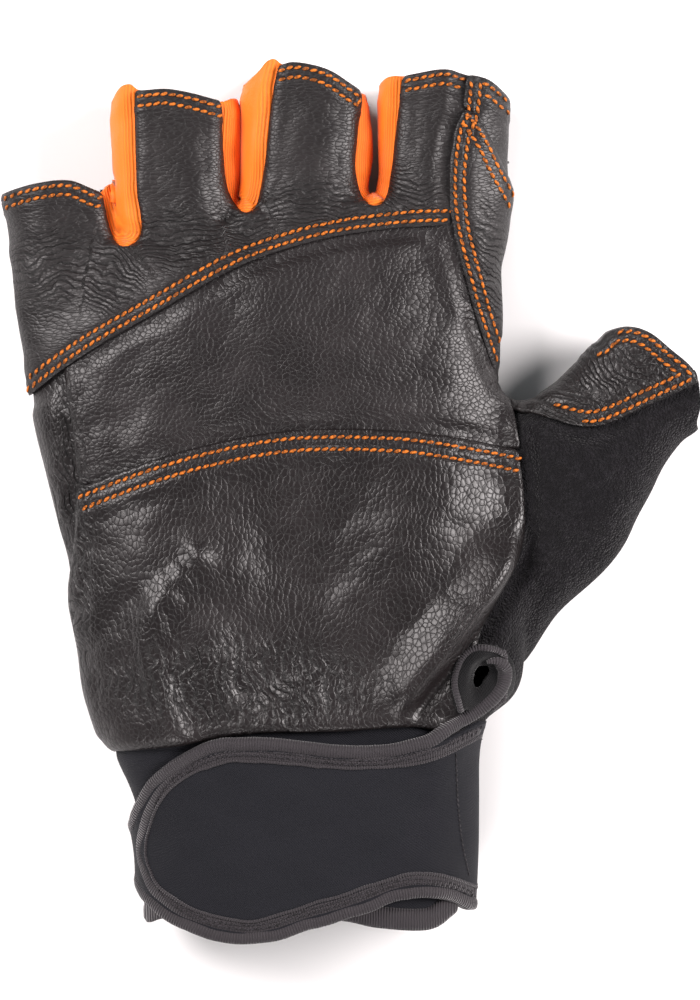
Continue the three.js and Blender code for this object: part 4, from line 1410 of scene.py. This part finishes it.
class GLOVE_OT_palm(bpy.types.Operator):
    """Cuts and shapes the leather panels of the palm side"""
    bl_idname = "glove.palm"
    bl_label = "Palm leather"

    def execute(self, context):
        sizes = sizes_now()
        low = BACK_SEAM_HEIGHT
        finger = leather_piece("finger_leather", sizes, within(FINGER_PANEL, clear=NOTCH_OUTLINES), low, 0.15,
                               over=[KNUCKLE], under=[INDEX_TOP], hem=list(HEMS.values()),
                               rolled=list(NOTCHES.values()))
        dress(finger, finger_leather(), "leather", "finger_panel")
        side = leather_piece("index_side_leather", sizes, within(INDEX_SIDE), low,
                             over=[INDEX_DOWN], rolled=[TIP], under=[WEB_SEAM], hem=[HEMS["index"]])
        dress(side, finger_leather(), "leather", "index_side_panel")
        tip = leather_piece("index_tip_leather", sizes, within(INDEX_TIP), low,
                            over=[INDEX_END], slightly_under=[TIP], hem=[HEMS["index"]])
        dress(tip, finger_leather(), "leather", "index_tip_panel")
        patch = leather_piece("palm_patch_leather", sizes, within(PALM_PATCH), low, 0.5,
                              rolled=[stretch(SIDE_SEAM, None, HEEL_AT_SIDE),
                                      stretch(THENAR_SEAM, None, HEEL_AT_THENAR)],
                              under=[KNUCKLE, HEEL, stretch(INDEX_SEAM, KNUCKLE_AT_INDEX)])
        dress(patch, grain_leather(), "grain_leather", "palm_patch")

        def heel_region(plan):
            return inside_outline(plan, HEEL_PANEL) & off_the_slit(plan)

        heel = leather_piece("heel_leather", sizes, heel_region, low, 0.35, HEEL_ROWS,
                             over=[HEEL], free=[KEYHOLE],
                             rolled=[stretch(THENAR_SEAM, HEEL_AT_THENAR),
                                     stretch(WRIST_EDGE, WRIST_AT_SIDE, WRIST_AT_SLIT),
                                     stretch(SIDE_SEAM, HEEL_AT_SIDE)])
        dress(heel, leather(), "leather", "heel_panel")
        outer = leather_piece("outer_side_leather", sizes, within(OUTER_SIDE), low,
                              under=[stretch(KNUCKLE_SEAM, None, KNUCKLE_AT_SIDE), SIDE],
                              rolled=[stretch(WRIST_EDGE, None, WRIST_AT_SIDE)])
        dress(outer, leather(), "leather", "outer_side_panel")
        return {"FINISHED"}


class GLOVE_OT_thumb(bpy.types.Operator):
    """Cuts the thumb's leather end and its terry side"""
    bl_idname = "glove.thumb"
    bl_label = "Thumb"

    def execute(self, context):
        sizes = sizes_now()
        cap = leather_piece("thumb_end_leather", sizes, within(THUMB_LEATHER), over=[THUMB_LINE],
                            hem=[THUMB_END], rolled=[WEB_SEAM])
        dress(cap, leather(), "leather", "thumb_leather")

        def terry_region(plan, heights):
            inside = inside_outline(plan, THUMB_TERRY)
            above = heights > BACK_SEAM_HEIGHT
            keep = inside | ((away_from(plan, THUMB_LINE, THENAR) < UNDERLAP) & above)
            return keep & (off_the_slit(plan) | ~above) & inside_outline(plan, GLOVE)

        def terry_rise(plan, heights, normals):
            return tuck(away_from(plan, THUMB_LINE, THENAR)) + 0.3 * ripple(plan, 14.0, 8)

        terry = sheet_piece("thumb_terry_cloth", terry_region, [WRIST, THUMB_END], terry_rise, TERRY_WALL)
        dress(terry, pile_finish("terry_cloth", colours_now().terry), "terry", "thumb_terry")
        return {"FINISHED"}


# How far the strips swell out in mm, at the crotch and at the hem: the left finger's side, the right finger's
# side; then upwards
SWELLS = {
    "little_ring_fourchette": ((2.2, 1.8), (0.0, 1.4), 1.3),
    "ring_middle_fourchette": ((1.7, 2.5), (1.9, 2.0), 1.5),
    "middle_index_fourchette": ((1.5, 4.2), (1.2, 1.3), 1.3),
}


def finger_strip(name, line, outline):
    """The strip in one notch: it swells out between its two fingers and is ribbed along its edges."""
    before, after = name.split("_")[:2]

    def region(plan, heights):
        keep = inside_outline(plan, outline) | (away_from(plan, line) < UNDERLAP)
        return keep & inside_outline(plan, GLOVE) & (heights > BACK_SEAM_HEIGHT)

    def rise(plan, heights, normals):
        inner = nearest_on(plan, line)[0]
        rightwards = ease(normals[:, 0], -0.3, 0.3)
        to_hem = rightwards * away_from(plan, HEMS[before]) + (1 - rightwards) * away_from(plan, HEMS[after])
        swell = ease(inner, -0.6, 3.0) * (0.72 + 0.28 * ease(to_hem, 0.0, 2.6))
        left, right, top = SWELLS[name]
        along = ease(plan[:, 1] - line[:, 1].min(), 4.0, 20.0)
        left, right = [crotch + (hem - crotch) * along for crotch, hem in (left, right)]
        side = np.where(normals[:, 0] > 0, left, right)
        facing = np.maximum(normals[:, 2], 0)
        return -0.8 + swell * (0.8 + side * (1 - facing) + top * facing)

    strip = sheet_piece(f"{name}_cloth", region, list(HEMS.values()), rise, STRIP_WALL, [BACK_SEAM_HEIGHT])
    places = coordinates(strip.data) / MM
    inner = nearest_on(places[:, :2], line)[0]
    store(strip.data, "rib", inner - 0.7 * places[:, 2])
    store(strip.data, "plain", ease(inner, 2.3, 3.3))
    dress(strip, strip_cloth(), "stretch_fabric", name)


class GLOVE_OT_strips(bpy.types.Operator):
    """Makes the stretch strips between the fingers"""
    bl_idname = "glove.strips"
    bl_label = "Finger strips"

    def execute(self, context):
        for (name, line), outline in zip(NOTCHES.items(), NOTCH_OUTLINES):
            finger_strip(name, line, outline)
        return {"FINISHED"}


class GLOVE_OT_back(bpy.types.Operator):
    """Cuts the knitted back of the hand"""
    bl_idname = "glove.back"
    bl_label = "Back of the hand"

    def execute(self, context):
        def region(plan, heights):
            keep = inside_outline(plan, GLOVE) & ~within(THUMB_LEATHER, THUMB_TERRY, CUFF_OUTLINE)(plan)
            near_hem = away_from(plan, *HEMS.values()) < 1.5
            return keep & (heights < BACK_SEAM_HEIGHT + np.where(near_hem, -0.3, 1.6))

        def rise(plan, heights, normals):
            return -0.9 * ease(heights, BACK_SEAM_HEIGHT - 2.5, BACK_SEAM_HEIGHT)

        back = sheet_piece("back_knit", region, list(HEMS.values()), rise, KNIT_WALL)
        dress(back, weave_finish("back_knit", colours_now().knit, 0.9, 0.25), "knit", "back_panel")
        return {"FINISHED"}


class GLOVE_OT_cuff(bpy.types.Operator):
    """Cuts the cuff and the binding round its end"""
    bl_idname = "glove.cuff"
    bl_label = "Cuff"

    def execute(self, context):
        def cuff_region(plan, heights):
            keep = inside_outline(plan, CUFF_OUTLINE) | (away_from(plan, WRIST) < UNDERLAP)
            return keep & slit_open(plan, heights) & (nearest_on(plan, CUFF_END)[0] > 1.0)

        def cuff_rise(plan, heights, normals):
            return -0.8 * ease(plan[:, 1] - ORIGIN[1], -3.0, 0.5)

        cuff = sheet_piece("cuff_neoprene", cuff_region, [], cuff_rise, NEOPRENE_WALL)
        dress(cuff, neoprene(), "neoprene", "cuff_band")

        def binding_region(plan, heights):
            beside_end = nearest_on(plan, CUFF_END)[0]
            return (beside_end < BINDING_WIDTH) & (beside_end > 0) & slit_open(plan, heights)

        def binding_rise(plan, heights, normals):
            share = nearest_on(plan, CUFF_END)[0] / BINDING_WIDTH
            return 0.75 * np.sqrt(np.clip(1 - (2 * share - 1) ** 2, 0, 1)) + 0.05

        edges = [CUFF_END, beside(CUFF_END, BINDING_WIDTH)]
        binding = sheet_piece("cuff_binding_tape", binding_region, edges, binding_rise, CUFF_TAPE_WALL)
        store(binding.data, "rib", coordinates(binding.data)[:, 0] / MM)
        dress(binding, binding_cloth(), "binding", "cuff_binding")
        return {"FINISHED"}


class GLOVE_OT_strap(bpy.types.Operator):
    """Makes the wrist strap, the closure under it, and its rolled and bordered binding"""
    bl_idname = "glove.strap"
    bl_label = "Wrist strap"

    def execute(self, context):
        strap_core = beside(STRAP_EDGE, ROLL_WIDTH * 0.7)

        def strap_region(plan, heights):
            keep = inside_outline(plan, strap_core) & (heights > BACK_SEAM_HEIGHT)
            return keep & (plan[:, 0] < STRAP_RIGHT + STRAP_REACH)

        def strap_rise(plan, heights, normals):
            return lifted_strap(plan, STRAP_LIFT)

        strap = sheet_piece("wrist_strap_neoprene", strap_region, [strap_core], strap_rise, NEOPRENE_WALL,
                            [BACK_SEAM_HEIGHT])
        dress(strap, neoprene(), "neoprene", "wrist_strap")

        middle = strap_points([CLOSURE_PLACE])[0]
        reach = np.array(CLOSURE_SIZE) / 2

        def closure_region(plan, heights):
            return (np.abs(plan - middle) < reach).all(1) & (heights > BACK_SEAM_HEIGHT)

        def closure_rise(plan, heights, normals):
            return np.full(len(plan), 1.4)

        closure = sheet_piece("closure_hooks", closure_region, [], closure_rise, CLOSURE_WALL)
        dress(closure, pile_finish("closure_hooks", colours_now().knit), "hook_and_loop", "closure_patch")

        edge = beside(STRAP_EDGE, ROLL_WIDTH / 2)
        keyhole_side = palm_points(KEYHOLE_ROLL)
        joins = int(np.linalg.norm(edge - keyhole_side[-1], axis=1).argmin())
        edge = edge[joins:]
        edge = edge[edge[:, 0] < STRAP_RIGHT + ROLL_REACH]
        roll_line = smooth(np.vstack([keyhole_side[:-1], edge[::3]]), 4)
        roll = draped_tape("strap_binding_roll", roll_line, ROLL_WIDTH, thickness=3.2, lift=1.6, taper=5.0)
        dress(roll, binding_cloth(), "binding", "strap_binding")
        for part, inset, width, thickness, lift in BORDERS:
            line = beside(STRAP_EDGE, inset)
            line = line[line[:, 0] < STRAP_RIGHT + BORDER_REACH]
            border = draped_tape(part, line, width, thickness, lift)
            dress(border, binding_cloth(), "binding", "strap_binding")
            Work.outer[part] = tree_of(border)
        return {"FINISHED"}


class GLOVE_OT_keyhole(bpy.types.Operator):
    """Makes the welt round the keyhole and the cloth that faces it"""
    bl_idname = "glove.keyhole"
    bl_label = "Keyhole"

    def execute(self, context):
        welt = draped_tape("keyhole_welt", KEYHOLE, width=1.5, thickness=1.9, lift=0.5)
        dress(welt, binding_cloth(), "binding", "keyhole_binding")
        hole = smooth(palm_points(KEYHOLE_HOLE + KEYHOLE_HOLE[:1]))

        def region(plan, heights):
            keep = inside_outline(plan, KEYHOLE) | (away_from(plan, KEYHOLE) < 1.0)
            return keep & ~inside_outline(plan, hole) & (heights > BACK_SEAM_HEIGHT)

        def rise(plan, heights, normals):
            return 0.5 - 1.9 * (1 - ease(away_from(plan, hole), 0.2, 2.4))

        facing = sheet_piece("keyhole_facing", region, [hole], rise, KEYHOLE_WALL)
        lining = weave_finish("keyhole_lining", colours_now().lining, 0.6, 0.15)
        dress(facing, lining, "binding", "keyhole_binding")
        return {"FINISHED"}


class GLOVE_OT_stitching(bpy.types.Operator):
    """Sews the double rows of thread along the seams and hems"""
    bl_idname = "glove.stitching"
    bl_label = "Stitching"

    def execute(self, context):
        sizes = sizes_now()
        first, second = rows_beside(sizes)
        orange = thread_finish("orange_thread", colours_now().thread)
        grey = thread_finish("grey_thread", colours_now().grey_thread)

        def rows(line, side, insets=(first, second)):
            return [beside(line, side * inset) for inset in insets]

        index_hem = HEMS["index"]
        seams = [
            ("knuckle", "finger_leather", rows(KNUCKLE, 1), everywhere),
            ("heel", "heel_leather", rows(HEEL, -1, HEEL_ROWS), everywhere),
            ("index_seam", "index_side_leather", rows(INDEX_DOWN, 1), everywhere),
            ("index_tip_seam", "index_tip_leather", rows(INDEX_END, 1), right_of(index_hem, 0.8)),
            ("tip_seam", "index_side_leather", rows(TIP, -1), everywhere),
            ("index_tip_hem", "index_tip_leather", rows(index_hem, -1), left_of(INDEX_END, second + 0.6)),
        ]
        for row, inset, start in (("outer", first, 6.9), ("inner", second, 1.6)):
            def on_seam(places, inset=inset, start=start):
                return right_of(THUMB_END, inset - 0.2)(places) & (places[:, 0] > WEB_GAP[0] + start)

            def on_hem(places, inset=inset):
                clear_of_end = np.linalg.norm(places - THUMB_END[0], axis=1) > 6.0
                return left_of(THUMB_LINE, inset + 0.5)(places) & clear_of_end

            seams.append((f"thumb_seam_{row}", "thumb_end_leather", [beside(THUMB_LINE, inset)], on_seam))
            seams.append((f"thumb_hem_{row}", "thumb_end_leather", [beside(THUMB_END, -inset)], on_hem))
        for name, hem in HEMS.items():
            seams.append((f"{name}_hem", "finger_leather", rows(hem, -1), on_fingers))
        for name, panel, lines, clear in seams:
            stitching(f"{name}_stitches", panel, lines, sizes, orange, clear)
        stitching("strap_stitches", "strap_binding_border", rows(STRAP_EDGE, 1, STRAP_ROWS), sizes, grey,
                  scale=FINE_STITCH)
        stitching("strap_seam_stitches", "wrist_strap_neoprene", [smooth(strap_points(STRAP_SEAM))], sizes,
                  grey, scale=FINE_STITCH)
        return {"FINISHED"}


# The stage, in metres: the paper, the lights and the camera, from which the photo shows PHOTO_HEIGHT
FLOOR_DROP = 0.0002
PAPER = (0.9, 0.9, 0.9, 1)
SKY = (0.92, 0.97, 1, 1)
SKY_STRENGTH = 0.17
LAMP_COLOUR = (1.0, 0.94, 0.935)
LAMPS = [
    ("key_light", (-0.5, 0.35, 0.5), 0.45, 8.0),
    ("side_light", (0.6, 0.15, 0.42), 0.4, 9.0),
    ("low_light", (-0.2, -0.7, 0.5), 0.4, 5.0),
]
LENS = 150
SENSOR = 36
PHOTO_HEIGHT = 0.230
PHOTO_LEVEL = 0.018  # the height above the paper at which the photo shows so much
CAMERA_PLACE = (0.000267, -0.00008)


class GLOVE_OT_stage(bpy.types.Operator):
    """Sets the floor, the lights and the camera"""
    bl_idname = "glove.stage"
    bl_label = "Stage"

    def execute(self, context):
        scene = context.scene
        bm = bmesh.new()
        bmesh.ops.create_grid(bm, x_segments=1, y_segments=1, size=2.5)
        floor = object_of(bm, "floor")
        floor.location.z = -FLOOR_DROP
        paper = bpy.data.materials.new("pale_paper")
        paper.use_nodes = True
        shader = paper.node_tree.nodes["Principled BSDF"]
        shader.inputs["Base Color"].default_value = PAPER
        shader.inputs["Roughness"].default_value = 0.9
        floor.data.materials.append(paper)
        world = bpy.data.worlds.new("studio")
        world.use_nodes = True
        sky = world.node_tree.nodes["Background"]
        sky.inputs["Color"].default_value = SKY
        sky.inputs["Strength"].default_value = SKY_STRENGTH
        scene.world = world
        for name, place, size, power in LAMPS:
            lamp = bpy.data.lights.new(name, "AREA")
            lamp.shape = "DISK"
            lamp.size = size
            lamp.energy = power
            lamp.color = LAMP_COLOUR
            holder = bpy.data.objects.new(name, lamp)
            holder.location = place
            holder.rotation_euler = (-Vector(place)).to_track_quat("-Z", "Y").to_euler()
            scene.collection.objects.link(holder)
        view = bpy.data.cameras.new("photo_camera")
        view.lens = LENS
        view.sensor_fit = "VERTICAL"
        view.sensor_height = SENSOR
        view.sensor_width = SENSOR
        camera = bpy.data.objects.new("photo_camera", view)
        camera.location = (*CAMERA_PLACE, PHOTO_HEIGHT * LENS / SENSOR + PHOTO_LEVEL)
        scene.collection.objects.link(camera)
        scene.camera = camera
        scene.view_settings.view_transform = "Standard"
        return {"FINISHED"}


CLASSES = (GLOVE_PG_sizes, GLOVE_PG_colours, GLOVE_OT_form, GLOVE_OT_palm, GLOVE_OT_thumb, GLOVE_OT_strips,
           GLOVE_OT_back, GLOVE_OT_cuff, GLOVE_OT_strap, GLOVE_OT_keyhole, GLOVE_OT_stitching, GLOVE_OT_stage)
OPERATORS = [made.bl_idname for made in CLASSES if issubclass(made, bpy.types.Operator)]


class GLOVE_PT_panel(bpy.types.Panel):
    """Lists the glove's sizes, colours and steps"""
    bl_idname = "GLOVE_PT_panel"
    bl_label = "Climbing glove"
    bl_space_type = "VIEW_3D"
    bl_region_type = "UI"
    bl_category = "Glove"

    def draw(self, context):
        for group in (context.scene.glove_sizes, context.scene.glove_colours):
            for name in group.__annotations__:
                self.layout.prop(group, name)
        for step in OPERATORS:
            self.layout.operator(step)


def register():
    for made in (*CLASSES, GLOVE_PT_panel):
        bpy.utils.register_class(made)
    bpy.types.Scene.glove_sizes = bpy.props.PointerProperty(type=GLOVE_PG_sizes)
    bpy.types.Scene.glove_colours = bpy.props.PointerProperty(type=GLOVE_PG_colours)


def unregister():
    del bpy.types.Scene.glove_colours
    del bpy.types.Scene.glove_sizes
    for made in reversed((*CLASSES, GLOVE_PT_panel)):
        bpy.utils.unregister_class(made)


def main():
    register()
    for step in OPERATORS:
        group, name = step.split(".")
        getattr(getattr(bpy.ops, group), name)()
    bpy.data.objects.remove(Work.form)


if __name__ == "__main__":
    main()
